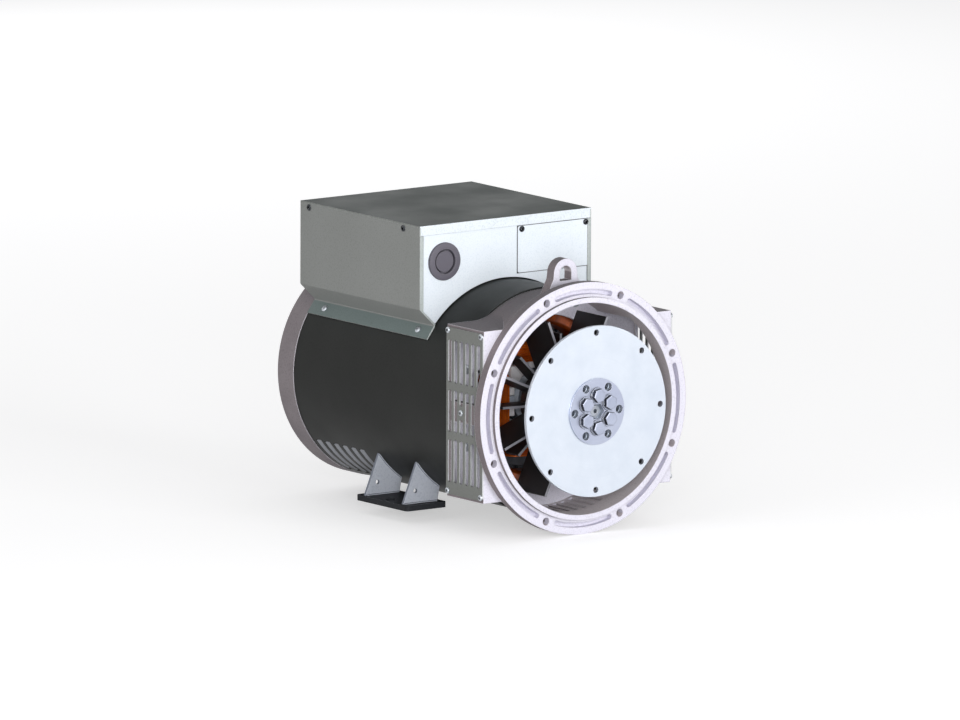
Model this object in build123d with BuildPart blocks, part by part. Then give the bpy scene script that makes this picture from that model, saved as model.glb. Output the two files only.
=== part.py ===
"""Single-bearing generator alternator head with an SAE 5 adaptor and a 7.5 in drive disc.

The shaft lies along Y. The drive end faces -Y, and the flange mounting face is the plane y = 0.
Z is up, and X is to the right for somebody who looks at the drive end. Sizes are in millimetres.
"""
from build123d import *
from math import cos, radians, sin, sqrt
import os

os.makedirs("parts", exist_ok=True)

# ---------------------------------------------------------------- driving dimensions
# SAE 5 flange
FLANGE_R = 178.0
FLANGE_THICK = 14.0
FLANGE_BOLT_CIRCLE_R = 333.38 / 2
FLANGE_HOLE_R = 5.5
FLANGE_BOLTS = 8
HALF_STEP = 360 / FLANGE_BOLTS / 2
SPIGOT_R = 157.15
SPIGOT_PROUD = 6.0
MOUTH_R = 149.5

# 7.5 in drive disc, its clamp ring and bolts
DISC_R = 241.3 / 2
DISC_BOLT_CIRCLE_R = 222.25 / 2
DISC_HOLE_R = 4.4
DISC_BOLTS = 8
DISC_FACE_Y = -30.2
DISC_PACK = 5.0
CLAMP_R = 47.0
CLAMP_THICK = 2.4
HUB_BOLT_CIRCLE_R = 23.0
HUB_HOLE_CIRCLE_R = 38.2
HUB_HOLE_R = 6.0
HUB_BOLTS = 6
BOLT_AF = 18.0
BOLT_HEAD = 7.5
PILOT_HEX_R = 12.0

# Cast housing behind the flange
BOX_HALF_W = 161.8
BOX_HALF_H = 121.5
HOUSING_END_Y = 100.0
DRUM_R = 156.0
DRUM_BLEND_R = 60.0
BAFFLE_R = 120.0
WALL = 6.0

# Frame tube
FRAME_R = 158.5
FRAME_INNER_R = 155.5
FRAME_END_Y = 471.0
FIXING_RING_R = 138.0

# Stator and rotor packs
CORE_START_Y = 135.0
CORE_LENGTH = 200.0
CORE_END_Y = CORE_START_Y + CORE_LENGTH
STATOR_BORE_R = 100.0
ROTOR_R = 99.0
STATOR_SLOTS = 36
SHAFT_R = 32.0
POLES = 4

# Fan
FAN_BLADES = 8
FAN_R = 133.0
FAN_START_Y = 16.0
FAN_END_Y = 86.0
FAN_FIRST_ANGLE = 21.5
FAN_HUB_R = 46.0

# Rear end shield and bearing
SHIELD_R = 159.5
SHIELD_END_Y = 513.0
BEARING_OUTER_R = 50.0
BEARING_BORE_R = 22.5
BEARING_WIDTH = 25.0
BEARING_Y = 478.0
BALL_R = 8.6
BALL_CIRCLE_R = 36.25
BALLS = 8

# Terminal box
TB_HALF_W = 148.5
TB_FRONT_Y = 185.0
TB_REAR_Y = 470.0
TB_TOP_Z = 246.0
TB_SHEET = 2.0
SADDLE_R = 160.4

# Feet
FOOT_Z = -160.0
FOOT_PLATE = 8.0
FOOT_HOLE_X = 138.0
FOOT_HOLE_Y = 266.0
FOOT_HOLE_R = 7.0


def across(y):
    """Plane across the shaft: local x is +X, local y is +Z. A negative extrusion runs to the rear."""
    return Plane(origin=(0, y, 0), x_dir=(1, 0, 0), z_dir=(0, -1, 0))


def radial(angle):
    """Plane through the shaft axis: local x is the radius at this angle, local y is +Y."""
    a = radians(angle)
    return Plane(origin=(0, 0, 0), x_dir=(cos(a), 0, sin(a)), z_dir=(-sin(a), 0, cos(a)))


def side(x):
    """Plane on a side wall, facing out: local y is +Z."""
    out = 1 if x > 0 else -1
    return Plane(origin=(x, 0, 0), x_dir=(0, out, 0), z_dir=(out, 0, 0))


def on_frame(radius, angle, y):
    """Plane that touches the round frame at this angle and faces out."""
    a = radians(angle)
    return Plane(
        origin=(radius * cos(a), y, radius * sin(a)), x_dir=(0, 1, 0), z_dir=(cos(a), 0, sin(a))
    )


# ---------------------------------------------------------------- drive end housing
# The top and bottom of the housing flare forward from the drum to the flange.
FLARE_END_Y = 76.0
with BuildPart() as flare:
    with BuildSketch(Plane.XY):
        with BuildLine():
            Polyline((DRUM_R, FLARE_END_Y), (MOUTH_R, FLARE_END_Y), (MOUTH_R, 0), (FLANGE_R, 0))
            Line((FLANGE_R, 0), (FLANGE_R, FLANGE_THICK))
            Spline(
                (FLANGE_R, FLANGE_THICK),
                (DRUM_R, FLARE_END_Y),
                tangents=((-0.7, 1), (-0.05, 1)),
            )
        make_face()
    revolve(axis=Axis.Y)
    Box(2 * BOX_HALF_W, 400, 400, mode=Mode.INTERSECT)

DUCT_MID_Y = 57.0
WINDOW_HALF_H = 107.0
POCKET_R = 164.5
POCKET_ARC = 32.6
POCKET_W = 7.0
POCKET_DEEP = 9.5
LUG_Y = 43.0
LUG_THICK = 16.5
LUG_TOP_R = 20.0
LUG_EYE_R = 10.0
LUG_EYE_Z = 186.0
LUG_FOOT_Z = 152.0
GRILLE_RIB_HALF = 14.0
VENT_MID_Y = 60.0
VENT_W = 8.0
VENT_L = 56.0
VENT_PITCH = 14.0
VENT_SLOTS = 9
GRILLE_SCREW_Y = (18.3, 96.0)
GRILLE_SCREW_Z = 113.5
GRILLE_MID_Y = 64.8
SCREW_R = 2.0
DRIVE_END_BOLT_R = 143.0
DRIVE_END_HOLE_R = 3.0
END_BOLTS = 8
END_BOLT_FLATS = 10.0
END_BOLT_HEAD = 4.0

with BuildPart() as drive_end_housing:
    # Square air box with a round drum that rises through its top and bottom
    with BuildSketch(across(FLANGE_THICK)):
        Rectangle(2 * BOX_HALF_W, 2 * BOX_HALF_H)
        Circle(DRUM_R)
        fillet([v for v in vertices() if abs(v.X) < BOX_HALF_W - 20], DRUM_BLEND_R)
    extrude(amount=FLANGE_THICK - HOUSING_END_Y)
    add(flare.part)
    with BuildSketch(across(0)):
        Circle(FLANGE_R)
    extrude(amount=-FLANGE_THICK)
    with BuildSketch(across(-SPIGOT_PROUD)):
        Circle(SPIGOT_R)
    extrude(amount=-SPIGOT_PROUD)
    # Lifting lug on the crown, with a web behind it
    with BuildSketch(across(LUG_Y)):
        with BuildLine():
            Polyline(
                (-LUG_TOP_R, LUG_EYE_Z),
                (-LUG_TOP_R - 1, 178),
                (-LUG_TOP_R - 14, LUG_FOOT_Z),
                (LUG_TOP_R + 14, LUG_FOOT_Z),
                (LUG_TOP_R + 1, 178),
                (LUG_TOP_R, LUG_EYE_Z),
            )
            ThreePointArc(
                (LUG_TOP_R, LUG_EYE_Z), (0, LUG_EYE_Z + LUG_TOP_R), (-LUG_TOP_R, LUG_EYE_Z)
            )
        make_face()
    extrude(amount=-LUG_THICK)
    with BuildSketch(Plane.YZ):
        with BuildLine():
            Line((LUG_Y + LUG_THICK, 171), (LUG_Y + LUG_THICK, LUG_FOOT_Z))
            Line((LUG_Y + LUG_THICK, LUG_FOOT_Z), (84, LUG_FOOT_Z))
            Spline((84, LUG_FOOT_Z), (LUG_Y + LUG_THICK, 171), tangents=((-1, 0.15), (-0.2, 1)))
        make_face()
    extrude(amount=LUG_TOP_R, both=True)
    with BuildSketch(across(LUG_Y - 20)):
        with Locations((0, (LUG_EYE_Z + 175) / 2)):
            Rectangle(2 * LUG_EYE_R, LUG_EYE_Z - 175)
        with Locations((0, LUG_EYE_Z)):
            Circle(LUG_EYE_R)
    extrude(amount=-90, mode=Mode.SUBTRACT)
    # Inside: the round mouth, the square duct and the side windows
    with BuildSketch(across(-SPIGOT_PROUD)):
        Circle(MOUTH_R)
    extrude(amount=WALL - HOUSING_END_Y - SPIGOT_PROUD, mode=Mode.SUBTRACT)
    with BuildSketch(across(FLANGE_THICK + WALL)):
        Rectangle(2 * (BOX_HALF_W - 5), 2 * (BOX_HALF_H - 5))
    extrude(amount=FLANGE_THICK + 2 * WALL - HOUSING_END_Y, mode=Mode.SUBTRACT)
    with BuildSketch(Plane.YZ):
        with Locations((DUCT_MID_Y, 0)):
            Rectangle(68, 2 * WINDOW_HALF_H)
    extrude(amount=BOX_HALF_W + 1, both=True, mode=Mode.SUBTRACT)
    # A cast rib crosses each side window behind the middle of the grille
    for hand in (-1, 1):
        with BuildSketch(Plane.YZ.offset(hand * BOX_HALF_W)):
            with Locations((DUCT_MID_Y, 0)):
                Rectangle(76, 2 * GRILLE_RIB_HALF)
        extrude(amount=-hand * 10)
    # Rear wall opening and the spigot that enters the frame
    with BuildSketch(across(HOUSING_END_Y)):
        Circle(FIXING_RING_R)
    extrude(amount=-4)
    with BuildSketch(across(HOUSING_END_Y - WALL - 1)):
        Circle(BAFFLE_R)
    extrude(amount=-WALL - 6, mode=Mode.SUBTRACT)
    # Air slots through the bottom of the drum
    with BuildSketch(Plane.XY.offset(-FLANGE_R)):
        with Locations((0, VENT_MID_Y)):
            with GridLocations(VENT_PITCH, 1, VENT_SLOTS, 1):
                Rectangle(VENT_W, VENT_L)
    extrude(amount=FLANGE_R - BOX_HALF_H, mode=Mode.SUBTRACT)
    # Kidney pockets and bolt holes of the flange
    with BuildSketch(across(0)):
        for k in range(FLANGE_BOLTS):
            pocket_start = k * 360 / FLANGE_BOLTS - POCKET_ARC / 2
            SlotArc(CenterArc((0, 0), POCKET_R, pocket_start, POCKET_ARC), POCKET_W)
    extrude(amount=-POCKET_DEEP, mode=Mode.SUBTRACT)
    with BuildSketch(across(0)):
        with PolarLocations(FLANGE_BOLT_CIRCLE_R, FLANGE_BOLTS, HALF_STEP):
            Circle(FLANGE_HOLE_R)
    extrude(amount=-FLANGE_THICK - 10, mode=Mode.SUBTRACT)
    # Holes for the bolts that hold the frame
    with BuildSketch(across(HOUSING_END_Y - WALL - 1)):
        with PolarLocations(DRIVE_END_BOLT_R, END_BOLTS, HALF_STEP):
            Circle(DRIVE_END_HOLE_R)
    extrude(amount=-WALL - 2, mode=Mode.SUBTRACT)
    # Holes for the grille screws
    for hand in (-1, 1):
        with BuildSketch(Plane.YZ.offset(hand * (BOX_HALF_W - 8))):
            for hole_y in GRILLE_SCREW_Y:
                with Locations((hole_y, GRILLE_SCREW_Z), (hole_y, -GRILLE_SCREW_Z)):
                    Circle(SCREW_R)
            with Locations((GRILLE_MID_Y, 0)):
                Circle(SCREW_R)
        extrude(amount=hand * 10, mode=Mode.SUBTRACT)
drive_end_housing.part.label = "drive_end_housing"
export_step(drive_end_housing.part, "parts/drive_end_housing.step")

# ---------------------------------------------------------------- side grilles
GRILLE_SHEET = 2.0
GRILLE_PITCH = 13.4
GRILLE_SLOT_W = 8.0
GRILLE_SLOT_L = 61.0
GRILLE_FIRST_Y = 24.6
GRILLE_GROUP_Z = 70.5


def grille_sheet(hand):
    """Slotted sheet over a side window, with five screw holes."""
    with BuildPart() as sheet:
        with BuildSketch(Plane.YZ.offset(hand * BOX_HALF_W)):
            with Locations((DUCT_MID_Y, 0)):
                RectangleRounded(86, 236, 6)
            for k in range(6):
                slot_y = GRILLE_FIRST_Y + k * GRILLE_PITCH
                with Locations((slot_y, GRILLE_GROUP_Z), (slot_y, -GRILLE_GROUP_Z)):
                    SlotOverall(GRILLE_SLOT_L, GRILLE_SLOT_W, rotation=90, mode=Mode.SUBTRACT)
                if k == 3:
                    with Locations((slot_y, 19.5), (slot_y, -19.5)):
                        SlotOverall(21, GRILLE_SLOT_W, rotation=90, mode=Mode.SUBTRACT)
                else:
                    with Locations((slot_y, 0)):
                        SlotOverall(60, GRILLE_SLOT_W, rotation=90, mode=Mode.SUBTRACT)
            for hole_y in GRILLE_SCREW_Y:
                with Locations((hole_y, GRILLE_SCREW_Z), (hole_y, -GRILLE_SCREW_Z)):
                    Circle(SCREW_R, mode=Mode.SUBTRACT)
            with Locations((GRILLE_MID_Y, 0)):
                Circle(SCREW_R, mode=Mode.SUBTRACT)
        extrude(amount=hand * GRILLE_SHEET)
    return sheet


left_grille = grille_sheet(-1)
left_grille.part.label = "left_grille"
export_step(left_grille.part, "parts/left_grille.step")

right_grille = grille_sheet(1)
right_grille.part.label = "right_grille"
export_step(right_grille.part, "parts/right_grille.step")


def pan_screws(plane, places, head_r, head, shank_r, shank):
    """Pan head screws that stand on a plane at these places."""
    with BuildPart() as screws:
        with BuildSketch(plane):
            with Locations(*places):
                Circle(head_r)
        extrude(amount=head)
        with BuildSketch(plane):
            with Locations(*places):
                Circle(shank_r)
        extrude(amount=-shank)
    return screws.part


def grille_screw_set(hand):
    """The five screws of one grille."""
    seat = side(hand * (BOX_HALF_W + GRILLE_SHEET))
    spots = [(hand * y, z) for y in GRILLE_SCREW_Y for z in (-GRILLE_SCREW_Z, GRILLE_SCREW_Z)]
    spots.append((hand * GRILLE_MID_Y, 0))
    return pan_screws(seat, spots, 4.3, 2.2, SCREW_R, 8)


left_screws = grille_screw_set(-1)
right_screws = grille_screw_set(1)
with BuildPart() as grille_screws:
    add(left_screws)
    add(right_screws)
grille_screws.part.label = "grille_screws"
export_step(grille_screws.part, "parts/grille_screws.step")

# ---------------------------------------------------------------- frame tube
SHELL_SLOT_Y = 352.0
SHELL_SLOT_PITCH = 20.6
SHELL_SLOT_W = 12.5
SHELL_SLOT_ARC = 27.4
SHELL_SLOT_LOW = 64.0
WINDOW_HALF_W = 86.0
WINDOW_Y = 340.0
WINDOW_LENGTH = 32.0
STRIP_ANGLE = 143.8
STRIP_SCREW_Y = (214.0, 437.0)

with BuildPart() as frame_tube:
    with BuildSketch(across(HOUSING_END_Y)):
        Circle(FRAME_R)
        Circle(FRAME_INNER_R, mode=Mode.SUBTRACT)
    extrude(amount=HOUSING_END_Y - FRAME_END_Y)
    # Cooling air enters through six slots low on each side, near the rear
    for start in (SHELL_SLOT_LOW - SHELL_SLOT_ARC, 180 - SHELL_SLOT_LOW):
        with BuildSketch(radial(-start)):
            with Locations((FRAME_R, SHELL_SLOT_Y + 2.5 * SHELL_SLOT_PITCH)):
                with GridLocations(1, SHELL_SLOT_PITCH, 1, 6):
                    Rectangle(12, SHELL_SLOT_W)
        revolve(axis=Axis.Y, revolution_arc=SHELL_SLOT_ARC, mode=Mode.SUBTRACT)
    # The leads leave through a window in the crown
    with BuildSketch(Plane.XY.offset(120)):
        with Locations((0, WINDOW_Y + WINDOW_LENGTH / 2)):
            Rectangle(2 * WINDOW_HALF_W, WINDOW_LENGTH)
    extrude(amount=60, mode=Mode.SUBTRACT)
    for angle in (STRIP_ANGLE, 180 - STRIP_ANGLE):
        for screw_y in STRIP_SCREW_Y:
            with BuildSketch(on_frame(FRAME_R + 5, angle, screw_y)):
                Circle(2.5)
            extrude(amount=-12, mode=Mode.SUBTRACT)
frame_tube.part.label = "frame_tube"
export_step(frame_tube.part, "parts/frame_tube.step")


def fixing_ring(y, thick):
    """Ring inside the frame tube that takes the bolts of an end casting."""
    with BuildPart() as ring:
        with BuildSketch(across(y)):
            Circle(FRAME_INNER_R)
            Circle(FIXING_RING_R, mode=Mode.SUBTRACT)
            with PolarLocations(DRIVE_END_BOLT_R, END_BOLTS, HALF_STEP):
                Circle(DRIVE_END_HOLE_R, mode=Mode.SUBTRACT)
        extrude(amount=-thick)
    return ring


RING_THICK = 8.0
front_fixing_ring = fixing_ring(HOUSING_END_Y, RING_THICK)
front_fixing_ring.part.label = "front_fixing_ring"
export_step(front_fixing_ring.part, "parts/front_fixing_ring.step")

rear_fixing_ring = fixing_ring(FRAME_END_Y - RING_THICK, RING_THICK)
rear_fixing_ring.part.label = "rear_fixing_ring"
export_step(rear_fixing_ring.part, "parts/rear_fixing_ring.step")


def hex_bolts(plane, circle_r, count, start, flats, head, shank_r, shank):
    """A ring of hexagon bolts whose heads stand on a plane."""
    with BuildPart() as bolts:
        with BuildSketch(plane):
            with PolarLocations(circle_r, count, start):
                RegularPolygon(flats / 2, 6, major_radius=False)
        extrude(amount=head)
        with BuildSketch(plane):
            with PolarLocations(circle_r, count, start):
                Circle(shank_r)
        extrude(amount=-shank)
    return bolts


drive_end_bolts = hex_bolts(
    across(HOUSING_END_Y - WALL),
    DRIVE_END_BOLT_R,
    END_BOLTS,
    HALF_STEP,
    END_BOLT_FLATS,
    END_BOLT_HEAD,
    DRIVE_END_HOLE_R,
    WALL + RING_THICK,
)
drive_end_bolts.part.label = "drive_end_bolts"
export_step(drive_end_bolts.part, "parts/drive_end_bolts.step")

# ---------------------------------------------------------------- stator pack and windings
SLOT_TOP_R = 128.0
with BuildPart() as stator_core:
    with BuildSketch(across(CORE_START_Y)):
        Circle(FRAME_INNER_R)
        Circle(STATOR_BORE_R, mode=Mode.SUBTRACT)
        with PolarLocations((STATOR_BORE_R + SLOT_TOP_R) / 2 - 1, STATOR_SLOTS):
            Rectangle(SLOT_TOP_R - STATOR_BORE_R + 2, 7, mode=Mode.SUBTRACT)
    extrude(amount=-CORE_LENGTH)
stator_core.part.label = "stator_core"
export_step(stator_core.part, "parts/stator_core.step")

OVERHANG = 27.0
with BuildPart() as stator_windings:
    for face_y, outward in ((CORE_START_Y, -1), (CORE_END_Y, 1)):
        with BuildSketch(Plane.XY):
            with BuildLine():
                Polyline(
                    (103, face_y),
                    (105, face_y + outward * OVERHANG),
                    (148, face_y + outward * OVERHANG),
                    (144, face_y + outward * 0.4 * OVERHANG),
                    (131, face_y),
                    (103, face_y),
                )
            make_face()
        revolve(axis=Axis.Y)
    fillet(edges().filter_by(GeomType.CIRCLE).group_by(Axis.Y)[0], 6)
    fillet(edges().filter_by(GeomType.CIRCLE).group_by(Axis.Y)[-1], 6)
    with BuildSketch(across(CORE_START_Y - 1)):
        with PolarLocations(115.7, STATOR_SLOTS):
            Rectangle(24, 6.4)
    extrude(amount=-CORE_LENGTH - 2)
stator_windings.part.label = "stator_windings"
export_step(stator_windings.part, "parts/stator_windings.step")

# ---------------------------------------------------------------- rear end shield
SHIELD_WALL = 8.0
SHIELD_FLOOR_Y = 503.0
CAP_R = 60.0
CAP_THICK = 4.0
CAP_BOLT_R = 54.5

with BuildPart() as rear_end_shield:
    with BuildSketch(Plane.XY):
        with BuildLine():
            Polyline(
                (FIXING_RING_R, FRAME_END_Y - 4),
                (FIXING_RING_R, FRAME_END_Y),
                (SHIELD_R, FRAME_END_Y),
                (SHIELD_R, SHIELD_END_Y),
                (CAP_R, SHIELD_END_Y),
                (CAP_R, SHIELD_END_Y - CAP_THICK),
                (BEARING_OUTER_R, SHIELD_END_Y - CAP_THICK),
                (BEARING_OUTER_R, BEARING_Y),
                (BEARING_OUTER_R - 4, BEARING_Y),
                (BEARING_OUTER_R - 4, BEARING_Y - 4),
                (BEARING_OUTER_R + 14, BEARING_Y - 4),
                (BEARING_OUTER_R + 17, SHIELD_FLOOR_Y),
                (SHIELD_R - SHIELD_WALL, SHIELD_FLOOR_Y),
                (SHIELD_R - SHIELD_WALL, FRAME_END_Y + 5),
                (FIXING_RING_R - 8, FRAME_END_Y + 5),
                (FIXING_RING_R - 8, FRAME_END_Y - 4),
                (FIXING_RING_R, FRAME_END_Y - 4),
            )
        make_face()
    revolve(axis=Axis.Y)
    fillet(
        [
            e
            for e in edges().filter_by(GeomType.CIRCLE)
            if abs(e.radius - SHIELD_R) < 0.1 and e.center().Y > SHIELD_END_Y - 1
        ],
        7,
    )
    with BuildSketch(across(SHIELD_FLOOR_Y)):
        with PolarLocations(106, 8):
            Rectangle(96, 6)
    extrude(amount=14)
    with BuildSketch(across(FRAME_END_Y)):
        with PolarLocations(DRIVE_END_BOLT_R, END_BOLTS, HALF_STEP):
            Circle(9)
    extrude(amount=FRAME_END_Y - SHIELD_FLOOR_Y)
    with BuildSketch(across(FRAME_END_Y - 5)):
        Circle(SHIELD_R + 5)
        Circle(SHIELD_R, mode=Mode.SUBTRACT)
    extrude(amount=-50, mode=Mode.SUBTRACT)
    with BuildSketch(across(FRAME_END_Y - 5)):
        with PolarLocations(DRIVE_END_BOLT_R, END_BOLTS, HALF_STEP):
            Circle(DRIVE_END_HOLE_R)
    extrude(amount=-50, mode=Mode.SUBTRACT)
    with BuildSketch(across(SHIELD_END_Y - CAP_THICK)):
        with PolarLocations(CAP_BOLT_R, 4, 45):
            Circle(2.5)
    extrude(amount=12, mode=Mode.SUBTRACT)
rear_end_shield.part.label = "rear_end_shield"
export_step(rear_end_shield.part, "parts/rear_end_shield.step")

rear_face = Plane(origin=(0, SHIELD_END_Y, 0), x_dir=(-1, 0, 0), z_dir=(0, 1, 0))
rear_end_bolts = hex_bolts(
    rear_face,
    DRIVE_END_BOLT_R,
    END_BOLTS,
    HALF_STEP,
    END_BOLT_FLATS,
    END_BOLT_HEAD,
    DRIVE_END_HOLE_R,
    SHIELD_END_Y - FRAME_END_Y + RING_THICK,
)
rear_end_bolts.part.label = "rear_end_bolts"
export_step(rear_end_bolts.part, "parts/rear_end_bolts.step")

PRELOAD_Y = BEARING_Y + BEARING_WIDTH
with BuildPart() as bearing_cap:
    with BuildSketch(rear_face.offset(-CAP_THICK)):
        Circle(CAP_R)
        with PolarLocations(CAP_BOLT_R, 4, 45):
            Circle(2.5, mode=Mode.SUBTRACT)
    extrude(amount=CAP_THICK)
    with BuildSketch(rear_face.offset(-CAP_THICK)):
        Circle(BEARING_OUTER_R)
        Circle(BEARING_OUTER_R - 7, mode=Mode.SUBTRACT)
    extrude(amount=-(SHIELD_END_Y - CAP_THICK - PRELOAD_Y - 2))
bearing_cap.part.label = "bearing_cap"
export_step(bearing_cap.part, "parts/bearing_cap.step")

cap_reach = CAP_BOLT_R / sqrt(2)
cap_spots = [(x, z) for x in (-cap_reach, cap_reach) for z in (-cap_reach, cap_reach)]
with BuildPart() as bearing_cap_screws:
    add(pan_screws(rear_face, cap_spots, 4.5, 2.4, 2.5, 14))
bearing_cap_screws.part.label = "bearing_cap_screws"
export_step(bearing_cap_screws.part, "parts/bearing_cap_screws.step")

with BuildPart() as preload_washer:
    with BuildSketch(across(PRELOAD_Y)):
        Circle(BEARING_OUTER_R - 0.2)
        Circle(BEARING_OUTER_R - 7, mode=Mode.SUBTRACT)
    extrude(amount=-2)
preload_washer.part.label = "preload_washer"
export_step(preload_washer.part, "parts/preload_washer.step")

# ---------------------------------------------------------------- bearing
GROOVE_R = BALL_R + 0.3
BALL_Y = BEARING_Y + BEARING_WIDTH / 2


def bearing_ring(inner_r, outer_r):
    """Bearing ring with the ball track turned into it."""
    with BuildPart() as ring:
        with BuildSketch(Plane.XY):
            with Locations(((inner_r + outer_r) / 2, BALL_Y)):
                Rectangle(outer_r - inner_r, BEARING_WIDTH)
            with Locations((BALL_CIRCLE_R, BALL_Y)):
                Circle(GROOVE_R, mode=Mode.SUBTRACT)
        revolve(axis=Axis.Y)
    return ring


bearing_outer_ring = bearing_ring(41.5, BEARING_OUTER_R)
bearing_outer_ring.part.label = "bearing_outer_ring"
export_step(bearing_outer_ring.part, "parts/bearing_outer_ring.step")

bearing_inner_ring = bearing_ring(BEARING_BORE_R, 31.0)
bearing_inner_ring.part.label = "bearing_inner_ring"
export_step(bearing_inner_ring.part, "parts/bearing_inner_ring.step")

with BuildPart() as bearing_balls:
    with Locations(Plane(origin=(0, BALL_Y, 0), z_dir=(0, 1, 0))):
        with PolarLocations(BALL_CIRCLE_R, BALLS):
            Sphere(BALL_R)
bearing_balls.part.label = "bearing_balls"
export_step(bearing_balls.part, "parts/bearing_balls.step")

with BuildPart() as bearing_cage:
    with BuildSketch(across(BALL_Y - 10)):
        Circle(38.5)
        Circle(34, mode=Mode.SUBTRACT)
    extrude(amount=-20)
    for k in range(BALLS):
        with BuildSketch(on_frame(30, k * 360 / BALLS, BALL_Y)):
            Circle(BALL_R)
        extrude(amount=12, mode=Mode.SUBTRACT)
bearing_cage.part.label = "bearing_cage"
export_step(bearing_cage.part, "parts/bearing_cage.step")

# ---------------------------------------------------------------- exciter
EXCITER_Y = 400.0
EXCITER_LENGTH = 30.0
EXCITER_POLES = 8
EXCITER_POST_R = 98.0
EXCITER_POSTS = 4
ARMATURE_R = 77.0
ARMATURE_SLOTS = 24
WINDING_OUTER_R = 75.0
WINDING_INNER_R = 54.0
WINDING_END = 12.0

with BuildPart() as exciter_field_core:
    with BuildSketch(across(EXCITER_Y)):
        Circle(106)
        Circle(92, mode=Mode.SUBTRACT)
        with PolarLocations(86.5, EXCITER_POLES):
            Rectangle(15, 22)
        with PolarLocations(EXCITER_POST_R, EXCITER_POSTS, HALF_STEP):
            Circle(3, mode=Mode.SUBTRACT)
    extrude(amount=-EXCITER_LENGTH)
exciter_field_core.part.label = "exciter_field_core"
export_step(exciter_field_core.part, "parts/exciter_field_core.step")

with BuildPart() as exciter_field_coils:
    with BuildSketch(across(EXCITER_Y - 9)):
        with PolarLocations(85.4, EXCITER_POLES):
            Rectangle(9, 36)
    extrude(amount=-EXCITER_LENGTH - 18)
    with BuildSketch(across(EXCITER_Y)):
        with PolarLocations(86, EXCITER_POLES):
            Rectangle(12, 22)
    extrude(amount=-EXCITER_LENGTH, mode=Mode.SUBTRACT)
exciter_field_coils.part.label = "exciter_field_coils"
export_step(exciter_field_coils.part, "parts/exciter_field_coils.step")

POST_Y = EXCITER_Y + EXCITER_LENGTH
with BuildPart() as exciter_posts:
    with BuildSketch(across(POST_Y)):
        with PolarLocations(EXCITER_POST_R, EXCITER_POSTS, HALF_STEP):
            Circle(6)
    extrude(amount=POST_Y - SHIELD_FLOOR_Y)
    with BuildSketch(across(EXCITER_Y)):
        with PolarLocations(EXCITER_POST_R, EXCITER_POSTS, HALF_STEP):
            Circle(3)
    extrude(amount=-EXCITER_LENGTH)
    with BuildSketch(across(EXCITER_Y)):
        with PolarLocations(EXCITER_POST_R, EXCITER_POSTS, HALF_STEP):
            RegularPolygon(5, 6)
    extrude(amount=4)
exciter_posts.part.label = "exciter_posts"
export_step(exciter_posts.part, "parts/exciter_posts.step")

with BuildPart() as exciter_armature_core:
    with BuildSketch(across(EXCITER_Y)):
        Circle(ARMATURE_R)
        Circle(SHAFT_R, mode=Mode.SUBTRACT)
        with PolarLocations(68, ARMATURE_SLOTS):
            Rectangle(20, 6, mode=Mode.SUBTRACT)
    extrude(amount=-EXCITER_LENGTH)
exciter_armature_core.part.label = "exciter_armature_core"
export_step(exciter_armature_core.part, "parts/exciter_armature_core.step")

with BuildPart() as exciter_armature_winding:
    with BuildSketch(across(EXCITER_Y - WINDING_END)):
        Circle(WINDING_OUTER_R)
        Circle(WINDING_INNER_R, mode=Mode.SUBTRACT)
    extrude(amount=-WINDING_END)
    with BuildSketch(across(POST_Y)):
        Circle(WINDING_OUTER_R)
        Circle(WINDING_INNER_R, mode=Mode.SUBTRACT)
    extrude(amount=-WINDING_END)
    with BuildSketch(across(EXCITER_Y - 1)):
        with PolarLocations(67, ARMATURE_SLOTS):
            Rectangle(16, 5.6)
    extrude(amount=-EXCITER_LENGTH - 2)
exciter_armature_winding.part.label = "exciter_armature_winding"
export_step(exciter_armature_winding.part, "parts/exciter_armature_winding.step")

RECTIFIER_Y = 448.0
RECTIFIER_THICK = 5.0
with BuildPart() as rectifier_plate:
    with BuildSketch(across(RECTIFIER_Y)):
        Circle(74)
        Circle(SHAFT_R, mode=Mode.SUBTRACT)
        with PolarLocations(64, 3, 30):
            Rectangle(24, 3, mode=Mode.SUBTRACT)
    extrude(amount=-RECTIFIER_THICK)
rectifier_plate.part.label = "rectifier_plate"
export_step(rectifier_plate.part, "parts/rectifier_plate.step")

DIODE_FACE = Plane(
    origin=(0, RECTIFIER_Y + RECTIFIER_THICK, 0), x_dir=(-1, 0, 0), z_dir=(0, 1, 0)
)
with BuildPart() as rectifier_diodes:
    with BuildSketch(DIODE_FACE):
        with PolarLocations(55, 6):
            RegularPolygon(7, 6)
    extrude(amount=4)
    with BuildSketch(DIODE_FACE.offset(4)):
        with PolarLocations(55, 6):
            Circle(5)
    extrude(amount=6, taper=10)
    with BuildSketch(DIODE_FACE.offset(10)):
        with PolarLocations(55, 6):
            Circle(1.5)
    extrude(amount=5)
rectifier_diodes.part.label = "rectifier_diodes"
export_step(rectifier_diodes.part, "parts/rectifier_diodes.step")

with BuildPart() as surge_suppressor:
    with BuildSketch(DIODE_FACE):
        with PolarLocations(46, 1, 90):
            Circle(9)
    extrude(amount=7)
surge_suppressor.part.label = "surge_suppressor"
export_step(surge_suppressor.part, "parts/surge_suppressor.step")

# ---------------------------------------------------------------- shaft and rotor pack
HUB_END_Y = 12.0
SHAFT_NOSE_Y = DISC_FACE_Y + DISC_PACK
KEY_W = 10.0
FAN_HUB_Y = 34.0
FAN_HUB_LENGTH = FAN_END_Y - FAN_HUB_Y

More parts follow.
